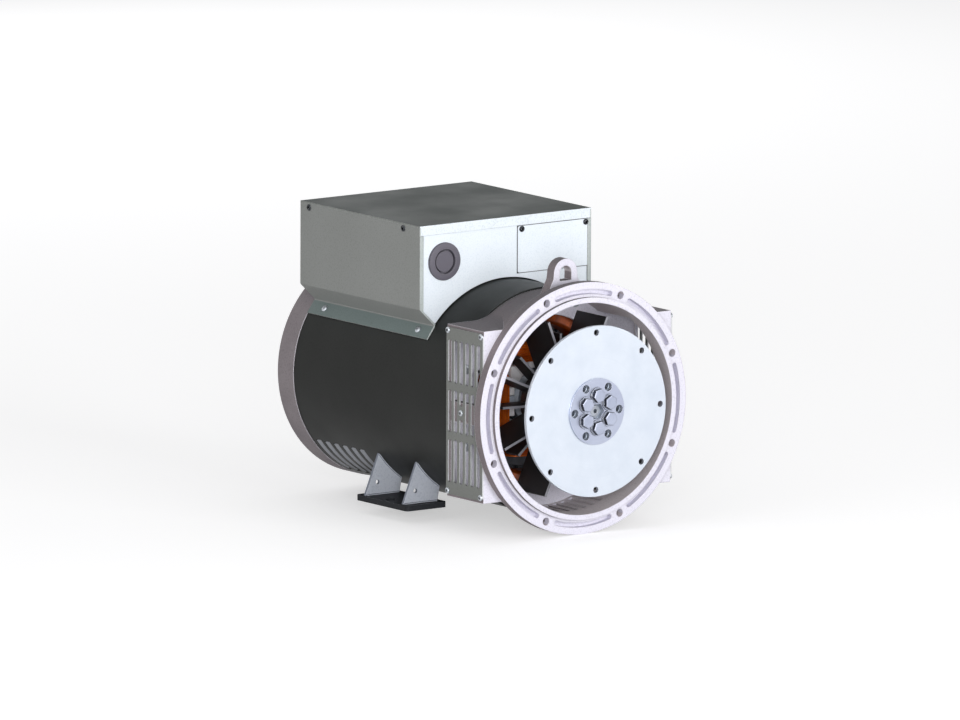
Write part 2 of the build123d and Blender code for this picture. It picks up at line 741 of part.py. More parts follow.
with BuildPart() as shaft:
    with BuildSketch(Plane.XY):
        with BuildLine():
            Polyline(
                (0, SHAFT_NOSE_Y - 3),
                (8, SHAFT_NOSE_Y - 3),
                (8.5, SHAFT_NOSE_Y),
                (SHAFT_R, SHAFT_NOSE_Y),
                (SHAFT_R, CORE_START_Y - 25),
                (SHAFT_R + 6, CORE_START_Y - 22),
                (SHAFT_R + 6, CORE_END_Y + 6),
                (SHAFT_R, CORE_END_Y + 9),
                (SHAFT_R, 466),
                (BEARING_BORE_R + 3.5, 470),
                (BEARING_BORE_R + 3.5, BEARING_Y),
                (BEARING_BORE_R, BEARING_Y),
                (BEARING_BORE_R, PRELOAD_Y + 2.5),
                (BEARING_BORE_R - 1, PRELOAD_Y + 3.5),
                (0, PRELOAD_Y + 3.5),
                (0, SHAFT_NOSE_Y - 3),
            )
        make_face()
    revolve(axis=Axis.Y)
    with BuildSketch(across(SHAFT_NOSE_Y - 3)):
        Circle(3)
    extrude(amount=-14, taper=10, mode=Mode.SUBTRACT)
    with BuildSketch(across(SHAFT_NOSE_Y)):
        with PolarLocations(HUB_BOLT_CIRCLE_R, HUB_BOLTS, 30):
            Circle(6)
    extrude(amount=-28, mode=Mode.SUBTRACT)
    with BuildSketch(across(FAN_HUB_Y)):
        with Locations((0, SHAFT_R)):
            Rectangle(KEY_W, 8)
    extrude(amount=-FAN_HUB_LENGTH, mode=Mode.SUBTRACT)
    with BuildSketch(across(PRELOAD_Y)):
        Circle(BEARING_BORE_R)
        Circle(BEARING_BORE_R - 1.2, mode=Mode.SUBTRACT)
    extrude(amount=-1.6, mode=Mode.SUBTRACT)
shaft.part.label = "shaft"
export_step(shaft.part, "parts/shaft.step")

with BuildPart() as bearing_circlip:
    with BuildSketch(across(PRELOAD_Y)):
        Circle(27)
        Circle(BEARING_BORE_R - 1.2, mode=Mode.SUBTRACT)
        with Locations((0, 25)):
            Rectangle(6, 8, mode=Mode.SUBTRACT)
    extrude(amount=-1.6)
bearing_circlip.part.label = "bearing_circlip"
export_step(bearing_circlip.part, "parts/bearing_circlip.step")

with BuildPart() as coupling_hub:
    with BuildSketch(across(SHAFT_NOSE_Y)):
        Circle(CLAMP_R)
        Circle(SHAFT_R, mode=Mode.SUBTRACT)
    extrude(amount=SHAFT_NOSE_Y - HUB_END_Y)
    chamfer(edges().filter_by(GeomType.CIRCLE).sort_by(Axis.Y)[-1], 2)
    with BuildSketch(across(SHAFT_NOSE_Y)):
        with PolarLocations(HUB_HOLE_CIRCLE_R, HUB_BOLTS):
            Circle(HUB_HOLE_R - 0.8)
    extrude(amount=-16, mode=Mode.SUBTRACT)
coupling_hub.part.label = "coupling_hub"
export_step(coupling_hub.part, "parts/coupling_hub.step")

with BuildPart() as drive_disc:
    with BuildSketch(across(DISC_FACE_Y)):
        Circle(DISC_R)
        RegularPolygon(PILOT_HEX_R, 6, mode=Mode.SUBTRACT)
        with PolarLocations(HUB_BOLT_CIRCLE_R, HUB_BOLTS, 30):
            Circle(6, mode=Mode.SUBTRACT)
        with PolarLocations(HUB_HOLE_CIRCLE_R, HUB_BOLTS):
            Circle(HUB_HOLE_R, mode=Mode.SUBTRACT)
        with PolarLocations(DISC_BOLT_CIRCLE_R, DISC_BOLTS):
            Circle(DISC_HOLE_R, mode=Mode.SUBTRACT)
    extrude(amount=-DISC_PACK)
    # Fine grooves in the rim part the plates of the pack
    for plate in (1, 2, 3):
        with BuildSketch(across(DISC_FACE_Y + plate * DISC_PACK / 4 - 0.15)):
            Circle(DISC_R + 1)
            Circle(DISC_R - 0.7, mode=Mode.SUBTRACT)
        extrude(amount=-0.3, mode=Mode.SUBTRACT)
drive_disc.part.label = "drive_disc"
export_step(drive_disc.part, "parts/drive_disc.step")

with BuildPart() as clamp_ring:
    with BuildSketch(across(DISC_FACE_Y - CLAMP_THICK)):
        Circle(CLAMP_R)
        RegularPolygon(PILOT_HEX_R, 6, mode=Mode.SUBTRACT)
        with PolarLocations(HUB_BOLT_CIRCLE_R, HUB_BOLTS, 30):
            Circle(6, mode=Mode.SUBTRACT)
        with PolarLocations(HUB_HOLE_CIRCLE_R, HUB_BOLTS):
            Circle(HUB_HOLE_R, mode=Mode.SUBTRACT)
    extrude(amount=-CLAMP_THICK)
clamp_ring.part.label = "clamp_ring"
export_step(clamp_ring.part, "parts/clamp_ring.step")

hub_bolts = hex_bolts(
    across(DISC_FACE_Y - CLAMP_THICK), HUB_BOLT_CIRCLE_R, HUB_BOLTS, 30, BOLT_AF, BOLT_HEAD, 6, 30
)
hub_bolts.part.label = "hub_bolts"
export_step(hub_bolts.part, "parts/hub_bolts.step")

with BuildPart() as fan_key:
    with BuildSketch(across(FAN_HUB_Y)):
        with Locations((0, SHAFT_R)):
            Rectangle(KEY_W, 8)
    extrude(amount=-FAN_HUB_LENGTH)
fan_key.part.label = "fan_key"
export_step(fan_key.part, "parts/fan_key.step")

# ---------------------------------------------------------------- fan
BLADE_THICK = 3.6
SHORT_VANE_R = 98.0


def fan_blade(angle, outline):
    """Flat radial blade with this outline of radius and y."""
    with BuildPart() as blade:
        with BuildSketch(radial(angle)):
            with BuildLine():
                Polyline(*outline, close=True)
            make_face()
        extrude(amount=BLADE_THICK / 2, both=True)
    return blade.part


ROOT_R = FAN_HUB_R - 2
long_outline = (
    (ROOT_R, FAN_HUB_Y + 8),
    (88, FAN_START_Y),
    (FAN_R, FAN_START_Y),
    (FAN_R, FAN_END_Y),
    (ROOT_R, FAN_END_Y),
)
short_outline = (
    (ROOT_R, FAN_HUB_Y + 18),
    (SHORT_VANE_R, FAN_HUB_Y + 22),
    (SHORT_VANE_R, FAN_END_Y),
    (ROOT_R, FAN_END_Y),
)
blade_step = 360 / FAN_BLADES
long_blades = [fan_blade(FAN_FIRST_ANGLE + k * blade_step, long_outline) for k in range(FAN_BLADES)]
short_vanes = [
    fan_blade(FAN_FIRST_ANGLE + (k + 0.5) * blade_step, short_outline) for k in range(FAN_BLADES)
]
with BuildPart() as fan:
    with BuildSketch(across(FAN_HUB_Y)):
        Circle(FAN_HUB_R)
        Circle(SHAFT_R, mode=Mode.SUBTRACT)
        with Locations((0, SHAFT_R)):
            Rectangle(KEY_W, 8, mode=Mode.SUBTRACT)
    extrude(amount=-FAN_HUB_LENGTH)
    chamfer(edges().filter_by(GeomType.CIRCLE).group_by(Axis.Y)[0].sort_by(SortBy.RADIUS)[-1], 4)
    for blade in long_blades + short_vanes:
        add(blade)
fan.part.label = "fan"
export_step(fan.part, "parts/fan.step")

# ---------------------------------------------------------------- rotor poles and field coils
POLE_HALF = 29.0
SHOE_HALF = 60.0
SHOE_N = 80.0
with BuildSketch() as pole_shoe:
    Circle(ROTOR_R)
    with Locations((SHOE_N + 15, 0)):
        Rectangle(30, 2 * SHOE_HALF, mode=Mode.INTERSECT)

with BuildPart() as rotor_core:
    with BuildSketch(across(CORE_START_Y)):
        Circle(54)
        with PolarLocations(65, POLES):
            Rectangle(36, 2 * POLE_HALF)
        with PolarLocations(0, POLES):
            add(pole_shoe.sketch)
        Circle(SHAFT_R + 6, mode=Mode.SUBTRACT)
    extrude(amount=-CORE_LENGTH)
rotor_core.part.label = "rotor_core"
export_step(rotor_core.part, "parts/rotor_core.step")

COIL_END = 36.0
COIL_FOOT_R = 54.3
COIL_THICK = 25.0
COIL_HALF = 52.0
COIL_CORNER_R = 26.0
COIL_WINDOW_R = 6.0
coil_length = CORE_LENGTH + 2 * COIL_END
coil_band = COIL_HALF - POLE_HALF
with BuildPart() as field_coils:
    for k in range(POLES):
        with BuildSketch(on_frame(COIL_FOOT_R, k * 360 / POLES, CORE_START_Y + CORE_LENGTH / 2)):
            RectangleRounded(coil_length, 2 * COIL_HALF, COIL_CORNER_R)
            RectangleRounded(
                coil_length - 2 * coil_band, 2 * POLE_HALF, COIL_WINDOW_R, mode=Mode.SUBTRACT
            )
        extrude(amount=COIL_THICK)
field_coils.part.label = "field_coils"
export_step(field_coils.part, "parts/field_coils.step")

# ---------------------------------------------------------------- terminal box
SIDE_FOOT_Z = 128.0
STRIP_R = FRAME_R + TB_SHEET / 2 + 0.05
STRIP_HALF = 11.6
strip_dir = (cos(radians(180 - STRIP_ANGLE)), sin(radians(180 - STRIP_ANGLE)))
strip_x = STRIP_R * strip_dir[0]
strip_z = STRIP_R * strip_dir[1]
LID_LIP = 14.0
LID_SCREW_Y = (224.0, 449.0)
LID_SCREW_Z = 238.7
PANEL_Y = TB_FRONT_Y + 1.5


def lid_screw_spots(hand):
    """Places of the lid screws of one side, on the plane of that side."""
    return [(hand * y, LID_SCREW_Z) for y in LID_SCREW_Y]


def box_side(hand):
    """Folded side sheet: it leans in to the frame and ends in a strip that lies on it."""
    with BuildPart() as sheet:
        with BuildSketch(across(TB_FRONT_Y)):
            with BuildLine():
                FilletPolyline(
                    (hand * (TB_HALF_W - 1), TB_TOP_Z - TB_SHEET),
                    (hand * (TB_HALF_W - 1), SIDE_FOOT_Z),
                    (
                        hand * (strip_x - STRIP_HALF * strip_dir[1]),
                        strip_z + STRIP_HALF * strip_dir[0],
                    ),
                    (
                        hand * (strip_x + STRIP_HALF * strip_dir[1]),
                        strip_z - STRIP_HALF * strip_dir[0],
                    ),
                    radius=3,
                )
            trace(line_width=TB_SHEET)
        extrude(amount=TB_FRONT_Y - TB_REAR_Y)
        with BuildSketch(side(hand * (TB_HALF_W + 1))):
            with Locations(*lid_screw_spots(hand)):
                Circle(2.5)
        extrude(amount=-4, mode=Mode.SUBTRACT)
        for screw_y in STRIP_SCREW_Y:
            angle = 180 - STRIP_ANGLE if hand > 0 else STRIP_ANGLE
            with BuildSketch(on_frame(FRAME_R + 6, angle, screw_y)):
                Circle(2.5)
            extrude(amount=-8, mode=Mode.SUBTRACT)
    return sheet


terminal_box_left_side = box_side(-1)
terminal_box_left_side.part.label = "terminal_box_left_side"
export_step(terminal_box_left_side.part, "parts/terminal_box_left_side.step")

terminal_box_right_side = box_side(1)
terminal_box_right_side.part.label = "terminal_box_right_side"
export_step(terminal_box_right_side.part, "parts/terminal_box_right_side.step")

GROMMET_X = -106.0
GROMMET_Z = 193.0
ACCESS_LEFT = 21.5
ACCESS_RIGHT = 145.0
ACCESS_LOW = 165.0
ACCESS_HIGH = 231.0
PANEL_TOP_Z = TB_TOP_Z - LID_LIP
PANEL_HALF_W = TB_HALF_W - TB_SHEET
ACCESS_SCREWS = ((28.0, 226.7), (139.0, 226.7))


def end_panel(y, front):
    """End sheet of the box, with its saddle cut to clear the frame."""
    with BuildPart() as sheet:
        with BuildSketch(across(y)):
            with BuildLine():
                Polyline(
                    (-PANEL_HALF_W, PANEL_TOP_Z if front else TB_TOP_Z - TB_SHEET),
                    (-PANEL_HALF_W, SIDE_FOOT_Z + 1.5),
                    (-119, 104),
                    (119, 104),
                    (PANEL_HALF_W, SIDE_FOOT_Z + 1.5),
                    (PANEL_HALF_W, PANEL_TOP_Z if front else TB_TOP_Z - TB_SHEET),
                    close=True,
                )
            make_face()
            Circle(SADDLE_R, mode=Mode.SUBTRACT)
            if front:
                with Locations((GROMMET_X, GROMMET_Z)):
                    Circle(22, mode=Mode.SUBTRACT)
                with Locations(((ACCESS_LEFT + ACCESS_RIGHT) / 2, 196)):
                    Rectangle(96, 44, mode=Mode.SUBTRACT)
                with Locations(*ACCESS_SCREWS):
                    Circle(2, mode=Mode.SUBTRACT)
        extrude(amount=-TB_SHEET)
    return sheet


terminal_box_front_panel = end_panel(PANEL_Y, True)
terminal_box_front_panel.part.label = "terminal_box_front_panel"
export_step(terminal_box_front_panel.part, "parts/terminal_box_front_panel.step")

terminal_box_rear_panel = end_panel(TB_REAR_Y - 3.5, False)
terminal_box_rear_panel.part.label = "terminal_box_rear_panel"
export_step(terminal_box_rear_panel.part, "parts/terminal_box_rear_panel.step")

with BuildPart() as terminal_box_lid:
    with BuildSketch(Plane.XY.offset(TB_TOP_Z - TB_SHEET)):
        with Locations((0, (TB_FRONT_Y + TB_REAR_Y) / 2)):
            Rectangle(2 * TB_HALF_W, TB_REAR_Y - TB_FRONT_Y)
    extrude(amount=TB_SHEET)
    with BuildSketch(Plane.XY.offset(TB_TOP_Z - LID_LIP)):
        with Locations((0, TB_FRONT_Y + TB_SHEET / 2)):
            Rectangle(2 * PANEL_HALF_W, TB_SHEET)
        for hand in (-1, 1):
            with Locations((hand * (PANEL_HALF_W - TB_SHEET / 2), (TB_FRONT_Y + TB_REAR_Y) / 2)):
                Rectangle(TB_SHEET, TB_REAR_Y - TB_FRONT_Y - 10)
    extrude(amount=LID_LIP - TB_SHEET)
    for hand in (-1, 1):
        with BuildSketch(side(hand * (TB_HALF_W + 1))):
            with Locations(*lid_screw_spots(hand)):
                Circle(2.5)
        extrude(amount=-8, mode=Mode.SUBTRACT)
terminal_box_lid.part.label = "terminal_box_lid"
export_step(terminal_box_lid.part, "parts/terminal_box_lid.step")

lid_left = pan_screws(side(-TB_HALF_W), lid_screw_spots(-1), 4.6, 2.0, 2.5, 6)
lid_right = pan_screws(side(TB_HALF_W), lid_screw_spots(1), 4.6, 2.0, 2.5, 6)
with BuildPart() as lid_screws:
    add(lid_left)
    add(lid_right)
lid_screws.part.label = "lid_screws"
export_step(lid_screws.part, "parts/lid_screws.step")

strip_screw_sets = [
    pan_screws(on_frame(STRIP_R + 1, angle, y), [(0, 0)], 5.0, 2.2, 2.5, 4.5)
    for angle in (STRIP_ANGLE, 180 - STRIP_ANGLE)
    for y in STRIP_SCREW_Y
]
with BuildPart() as strip_screws:
    for screw in strip_screw_sets:
        add(screw)
strip_screws.part.label = "strip_screws"
export_step(strip_screws.part, "parts/strip_screws.step")

with BuildPart() as access_plate:
    with BuildSketch(across(PANEL_Y)):
        with Locations(((ACCESS_LEFT + ACCESS_RIGHT) / 2, (ACCESS_LOW + ACCESS_HIGH) / 2)):
            RectangleRounded(ACCESS_RIGHT - ACCESS_LEFT, ACCESS_HIGH - ACCESS_LOW, 3)
        with Locations(*ACCESS_SCREWS):
            Circle(2, mode=Mode.SUBTRACT)
    extrude(amount=1.2)
access_plate.part.label = "access_plate"
export_step(access_plate.part, "parts/access_plate.step")

with BuildPart() as access_screws:
    add(pan_screws(across(PANEL_Y - 1.2), ACCESS_SCREWS, 4.2, 2.2, 2, 5))
access_screws.part.label = "access_screws"
export_step(access_screws.part, "parts/access_screws.step")

with BuildPart() as cable_entry_plug:
    with BuildSketch(across(PANEL_Y)):
        with Locations((GROMMET_X, GROMMET_Z)):
            Circle(26.85)
    extrude(amount=4.5)
    fillet(edges().filter_by(GeomType.CIRCLE).sort_by(Axis.Y)[0], 2)
    with BuildSketch(across(PANEL_Y)):
        with Locations((GROMMET_X, GROMMET_Z)):
            Circle(22)
    extrude(amount=-TB_SHEET - 4)
    with BuildSketch(across(PANEL_Y - 4.5)):
        with Locations((GROMMET_X, GROMMET_Z)):
            Circle(17.5)
    extrude(amount=-7, mode=Mode.SUBTRACT)
cable_entry_plug.part.label = "cable_entry_plug"
export_step(cable_entry_plug.part, "parts/cable_entry_plug.step")

# ---------------------------------------------------------------- inside the terminal box
RAIL_Y = 285.0
RAIL_HALF = 23.0
BOARD_Z = 190.0
BOARD_THICK = 10.0
STUD_X = [-75 + 30 * k for k in range(6)]
LEAD_R = 4.0
LEAD_Y = 349.0
OVERHANG_TOP_R = 144.5


def lead_start(x):
    """Height at which a lead leaves the rear overhang of the windings."""
    return sqrt(OVERHANG_TOP_R**2 - (abs(x) + LEAD_R) ** 2) - 1


with BuildPart() as terminal_rail:
    with BuildSketch(Plane.YZ.offset(-PANEL_HALF_W)):
        with Locations((RAIL_Y, BOARD_Z - 1.5)):
            Rectangle(2 * RAIL_HALF, 3)
        with Locations((RAIL_Y - RAIL_HALF + 1.5, BOARD_Z - 8), (RAIL_Y + RAIL_HALF - 1.5, BOARD_Z - 8)):
            Rectangle(3, 13)
    extrude(amount=2 * PANEL_HALF_W)
terminal_rail.part.label = "terminal_rail"
export_step(terminal_rail.part, "parts/terminal_rail.step")

with BuildPart() as terminal_board:
    with BuildSketch(Plane.XY.offset(BOARD_Z)):
        with Locations((0, RAIL_Y)):
            RectangleRounded(190, 46, 4)
    extrude(amount=BOARD_THICK)
    for x in [-60 + 30 * k for k in range(5)]:
        with BuildSketch(Plane.XY.offset(BOARD_Z + BOARD_THICK)):
            with Locations((x, RAIL_Y)):
                Rectangle(2, 40)
        extrude(amount=6)
terminal_board.part.label = "terminal_board"
export_step(terminal_board.part, "parts/terminal_board.step")

with BuildPart() as terminal_studs:
    with BuildSketch(Plane.XY.offset(BOARD_Z + BOARD_THICK)):
        with Locations(*[(x, RAIL_Y) for x in STUD_X]):
            RegularPolygon(8, 6)
    extrude(amount=8)
    with BuildSketch(Plane.XY.offset(BOARD_Z + BOARD_THICK + 8)):
        with Locations(*[(x, RAIL_Y) for x in STUD_X]):
            Circle(4)
    extrude(amount=14)
terminal_studs.part.label = "terminal_studs"
export_step(terminal_studs.part, "parts/terminal_studs.step")

lead_z = BOARD_Z + BOARD_THICK + LEAD_R
with BuildPart() as phase_leads:
    for x in STUD_X:
        with BuildLine() as route:
            FilletPolyline(
                (x, LEAD_Y, lead_start(x)),
                (x, LEAD_Y, lead_z),
                (x, RAIL_Y + 8, lead_z),
                radius=22,
            )
        with BuildSketch(Plane.XY.offset(lead_start(x))):
            with Locations((x, LEAD_Y)):
                Circle(LEAD_R)
        sweep(path=route.line)
phase_leads.part.label = "phase_leads"
export_step(phase_leads.part, "parts/phase_leads.step")

AVR_X = 84.0
AVR_Z = 197.0
AVR_Y = 206.0
AVR_DEPTH = 26.0
with BuildPart() as regulator_bracket:
    with BuildSketch(across(AVR_Y + AVR_DEPTH)):
        with Locations((AVR_X, AVR_Z)):
            Rectangle(2 * (PANEL_HALF_W - AVR_X), 60)
    extrude(amount=-2)
    with BuildSketch(Plane.YZ.offset(PANEL_HALF_W)):
        with Locations((AVR_Y + AVR_DEPTH + 12, AVR_Z)):
            Rectangle(24, 60)
    extrude(amount=-2)
regulator_bracket.part.label = "regulator_bracket"
export_step(regulator_bracket.part, "parts/regulator_bracket.step")

TRIMMER_X = 112.0
TRIMMER_Z = 208.0
with BuildPart() as voltage_regulator:
    with BuildSketch(across(AVR_Y)):
        with Locations((AVR_X, AVR_Z)):
            RectangleRounded(100, 52, 4)
    extrude(amount=-AVR_DEPTH)
    with BuildSketch(across(AVR_Y)):
        with Locations((AVR_X, AVR_Z)):
            RectangleRounded(92, 44, 3)
    extrude(amount=-3, mode=Mode.SUBTRACT)
    with BuildSketch(across(AVR_Y)):
        with Locations((TRIMMER_X, TRIMMER_Z)):
            Rectangle(11, 11)
    extrude(amount=-3)
    with BuildSketch(across(AVR_Y)):
        with Locations((TRIMMER_X, TRIMMER_Z)):
            Circle(3.6)
    extrude(amount=-2, mode=Mode.SUBTRACT)
voltage_regulator.part.label = "voltage_regulator"
export_step(voltage_regulator.part, "parts/voltage_regulator.step")

with BuildPart() as voltage_trimmer:
    with BuildSketch(across(AVR_Y - 1)):
        with Locations((TRIMMER_X, TRIMMER_Z)):
            Circle(3.5)
    extrude(amount=-3)
    with BuildSketch(across(AVR_Y - 1)):
        with Locations((TRIMMER_X, TRIMMER_Z)):
            Rectangle(1, 8)
    extrude(amount=-1, mode=Mode.SUBTRACT)
voltage_trimmer.part.label = "voltage_trimmer"
export_step(voltage_trimmer.part, "parts/voltage_trimmer.step")

# ---------------------------------------------------------------- feet
GUSSET_Y = (219.0, 309.0)
GUSSET_THICK = 4.0
GUSSET_FOOT_Z = FOOT_Z + FOOT_PLATE


def foot_gussets(hand):
    """Two gusset plates whose long edge follows the frame."""
    with BuildPart() as plates:
        for y in GUSSET_Y:
            with BuildSketch(across(y)):
                with BuildLine():
                    Polyline(
                        (hand * 60, -100),
                        (hand * 127.6, -94),
                        (hand * 151, GUSSET_FOOT_Z),
                        (hand * 92, GUSSET_FOOT_Z),
                        (hand * 88, -131.8),
                        (hand * 60, -100),
                    )
                make_face()
                Circle(FRAME_R, mode=Mode.SUBTRACT)
                with Locations((hand * 130, -134.5)):
                    Circle(3.2, mode=Mode.SUBTRACT)
            extrude(amount=-GUSSET_THICK)
    return plates


def foot_plate(hand):
    """Flat foot under the gussets, with its bolt hole."""
    with BuildPart() as plate:
        with BuildSketch(Plane.XY.offset(FOOT_Z)):
            with Locations((hand * 120, FOOT_HOLE_Y)):
                RectangleRounded(70, 122, 6)
            with Locations((hand * FOOT_HOLE_X, FOOT_HOLE_Y)):
                Circle(FOOT_HOLE_R, mode=Mode.SUBTRACT)
        extrude(amount=FOOT_PLATE)
    return plate


left_foot_gussets = foot_gussets(-1)
left_foot_gussets.part.label = "left_foot_gussets"
export_step(left_foot_gussets.part, "parts/left_foot_gussets.step")

right_foot_gussets = foot_gussets(1)
right_foot_gussets.part.label = "right_foot_gussets"
export_step(right_foot_gussets.part, "parts/right_foot_gussets.step")

left_foot_plate = foot_plate(-1)
left_foot_plate.part.label = "left_foot_plate"
export_step(left_foot_plate.part, "parts/left_foot_plate.step")

right_foot_plate = foot_plate(1)
right_foot_plate.part.label = "right_foot_plate"
export_step(right_foot_plate.part, "parts/right_foot_plate.step")
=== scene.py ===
import math

import bmesh
import bpy
from mathutils import Matrix, Vector


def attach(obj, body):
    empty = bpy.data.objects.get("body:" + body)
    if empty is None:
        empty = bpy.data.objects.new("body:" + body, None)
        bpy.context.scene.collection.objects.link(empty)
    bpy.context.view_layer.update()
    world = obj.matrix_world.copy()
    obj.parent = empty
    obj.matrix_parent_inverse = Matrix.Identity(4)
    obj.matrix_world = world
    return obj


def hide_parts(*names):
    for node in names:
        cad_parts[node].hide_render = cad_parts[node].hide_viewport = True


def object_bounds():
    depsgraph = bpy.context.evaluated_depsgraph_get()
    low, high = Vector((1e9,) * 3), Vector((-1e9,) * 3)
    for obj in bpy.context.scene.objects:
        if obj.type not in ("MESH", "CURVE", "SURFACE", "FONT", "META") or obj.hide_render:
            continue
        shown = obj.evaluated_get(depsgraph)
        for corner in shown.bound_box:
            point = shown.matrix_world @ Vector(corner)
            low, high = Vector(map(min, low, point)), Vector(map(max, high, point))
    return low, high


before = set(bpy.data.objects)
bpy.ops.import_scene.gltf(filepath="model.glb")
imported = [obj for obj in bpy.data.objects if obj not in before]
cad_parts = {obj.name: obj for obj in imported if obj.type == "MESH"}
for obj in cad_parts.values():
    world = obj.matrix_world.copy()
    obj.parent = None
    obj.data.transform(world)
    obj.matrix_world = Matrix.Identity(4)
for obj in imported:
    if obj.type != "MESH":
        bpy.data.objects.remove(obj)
cad_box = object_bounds()

# ---------------------------------------------------------------------------
# Camera: it stands far off with a very long lens, to the left of the drive end and a little above,
# so the edges of the box and the frame run nearly parallel.
camera_aim = Vector((-0.1765, 0.0033, 0.08465))
camera_stand = Vector((-24.226, -32.896, 6.817))
camera_roll = math.radians(0.21)
camera_data = bpy.data.cameras.new("camera")
camera_data.sensor_width = 36
camera_data.lens = 1113
camera_data.clip_end = 300
camera = bpy.data.objects.new("camera", camera_data)
bpy.context.scene.collection.objects.link(camera)
camera.location = camera_stand
level = (camera_aim - camera_stand).to_track_quat("-Z", "Y").to_matrix()
camera.rotation_euler = (level @ Matrix.Rotation(camera_roll, 3, "Z")).to_euler()
bpy.context.scene.camera = camera
bpy.context.scene.view_settings.view_transform = "Standard"


# ---------------------------------------------------------------------------
# Studio: a white vinyl floor under soft boxes, in a white room. The floor shows the shadow
# of the machine, and a little light of its own brings the rest of it to white.
def linear(code):
    """Linear colour of an sRGB hex value."""
    parts = [int(code[k : k + 2], 16) / 255 for k in (1, 3, 5)]
    return [c / 12.92 if c <= 0.04045 else ((c + 0.055) / 1.055) ** 2.4 for c in parts] + [1.0]


def add_node(tree, kind, settings=None, inputs=None):
    """Adds a node, sets its properties, and fills or links its inputs."""
    node = tree.nodes.new(kind)
    for name, value in (settings or {}).items():
        setattr(node, name, value)
    for name, value in (inputs or {}).items():
        if isinstance(value, bpy.types.NodeSocket):
            tree.links.new(value, node.inputs[name])
        else:
            node.inputs[name].default_value = value
    return node


def seen_rays(tree):
    """1 for rays that the eye follows: straight, off gloss or through glass."""
    path = add_node(tree, "ShaderNodeLightPath")
    either = add_node(
        tree,
        "ShaderNodeMath",
        {"operation": "MAXIMUM"},
        {0: path.outputs["Is Camera Ray"], 1: path.outputs["Is Glossy Ray"]},
    )
    every = add_node(
        tree,
        "ShaderNodeMath",
        {"operation": "MAXIMUM"},
        {0: either.outputs[0], 1: path.outputs["Is Transmission Ray"]},
    )
    return every.outputs[0]


floor_half = 30.0
floor_level = cad_box[0][2]
bm = bmesh.new()
bmesh.ops.create_grid(bm, x_segments=1, y_segments=1, size=floor_half)
bmesh.ops.translate(bm, verts=bm.verts, vec=(0, 0, floor_level))
floor_mesh = bpy.data.meshes.new("studio_floor")
bm.to_mesh(floor_mesh)
bm.free()
studio_floor = bpy.data.objects.new("studio_floor", floor_mesh)
bpy.context.scene.collection.objects.link(studio_floor)
vinyl = bpy.data.materials.new("white_vinyl")
vinyl.use_nodes = True
tree = vinyl.node_tree
matt = add_node(tree, "ShaderNodeBsdfDiffuse", None, {"Color": (0.74, 0.74, 0.75, 1)})
floor_glow = 0.5
glow_level = add_node(
    tree, "ShaderNodeMath", {"operation": "MULTIPLY"}, {0: seen_rays(tree), 1: floor_glow}
)
glow = add_node(tree, "ShaderNodeEmission", None, {"Strength": glow_level.outputs[0]})
both = add_node(tree, "ShaderNodeAddShader", None, {0: matt.outputs[0], 1: glow.outputs[0]})
tree.links.new(both.outputs[0], tree.nodes["Material Output"].inputs["Surface"])
floor_mesh.materials.append(vinyl)

world = bpy.data.worlds.new("white_room")
bpy.context.scene.world = world
world.use_nodes = True
tree = world.node_tree
room_light = 0.42
room_level = add_node(
    tree,
    "ShaderNodeMapRange",
    None,
    {"Value": seen_rays(tree), "To Min": room_light, "To Max": 1.0},
)
tree.links.new(room_level.outputs["Result"], tree.nodes["Background"].inputs["Strength"])
tree.nodes["Background"].inputs["Color"].default_value = (1, 1, 1, 1)

lamp_aim = Vector((0, 0.2, 0.05))
for name, stand, size, power in (
    ("front_softbox", (0.6, -4.4, 0.8), 2.6, 122.0),
    ("aisle_softbox", (-2.6, -3.5, 0.7), 1.6, 90.0),
    ("left_softbox", (-4.3, -0.4, 1.0), 2.2, 22.0),
    ("rear_softbox", (1.8, 4.2, 1.6), 2.4, 24.0),
):
    lamp = bpy.data.lights.new(name, "AREA")
    lamp.size = size
    lamp.energy = power
    lamp_object = bpy.data.objects.new(name, lamp)
    bpy.context.scene.collection.objects.link(lamp_object)
    lamp_object.location = stand
    toward = lamp_aim - lamp_object.location
    lamp_object.rotation_euler = toward.to_track_quat("-Z", "Y").to_euler()


# ---------------------------------------------------------------------------
# Drive end housing: one aluminium sand casting with the flange, the square air box, the round
# drum and the lifting lug. The front faces are machined, and the rest is shot-blasted as cast. The
# front faces are also painted brighter as painted light, the tops darker as painted shade, and the
# inside brighter as painted light.
def blank_material(name):
    """A new material with its node tree and its shader."""
    mat = bpy.data.materials.new(name)
    mat.use_nodes = True
    return mat, mat.node_tree, mat.node_tree.nodes["Principled BSDF"]


def finish(mat, *nodes):
    """Gives carried-over nodes this material."""
    for name in nodes:
        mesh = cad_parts[name].data
        mesh.materials.clear()
        mesh.materials.append(mat)


def repeats(size_mm):
    """Texture scale at which one feature is this many millimetres across."""
    return 1000 / size_mm


def edge_rub(tree, radius_mm):
    """Mask of the corners that get rubbed, and the normal that rounds them over."""
    rounded = add_node(tree, "ShaderNodeBevel", {"samples": 4}, {"Radius": radius_mm / 1000})
    flat = add_node(tree, "ShaderNodeNewGeometry")
    turn = add_node(
        tree,
        "ShaderNodeVectorMath",
        {"operation": "DOT_PRODUCT"},
        {0: rounded.outputs["Normal"], 1: flat.outputs["Normal"]},
    )
    mask = add_node(
        tree,
        "ShaderNodeMapRange",
        None,
        {"Value": turn.outputs["Value"], "From Min": 0.99, "From Max": 0.82},
    )
    return mask.outputs["Result"], rounded.outputs["Normal"]


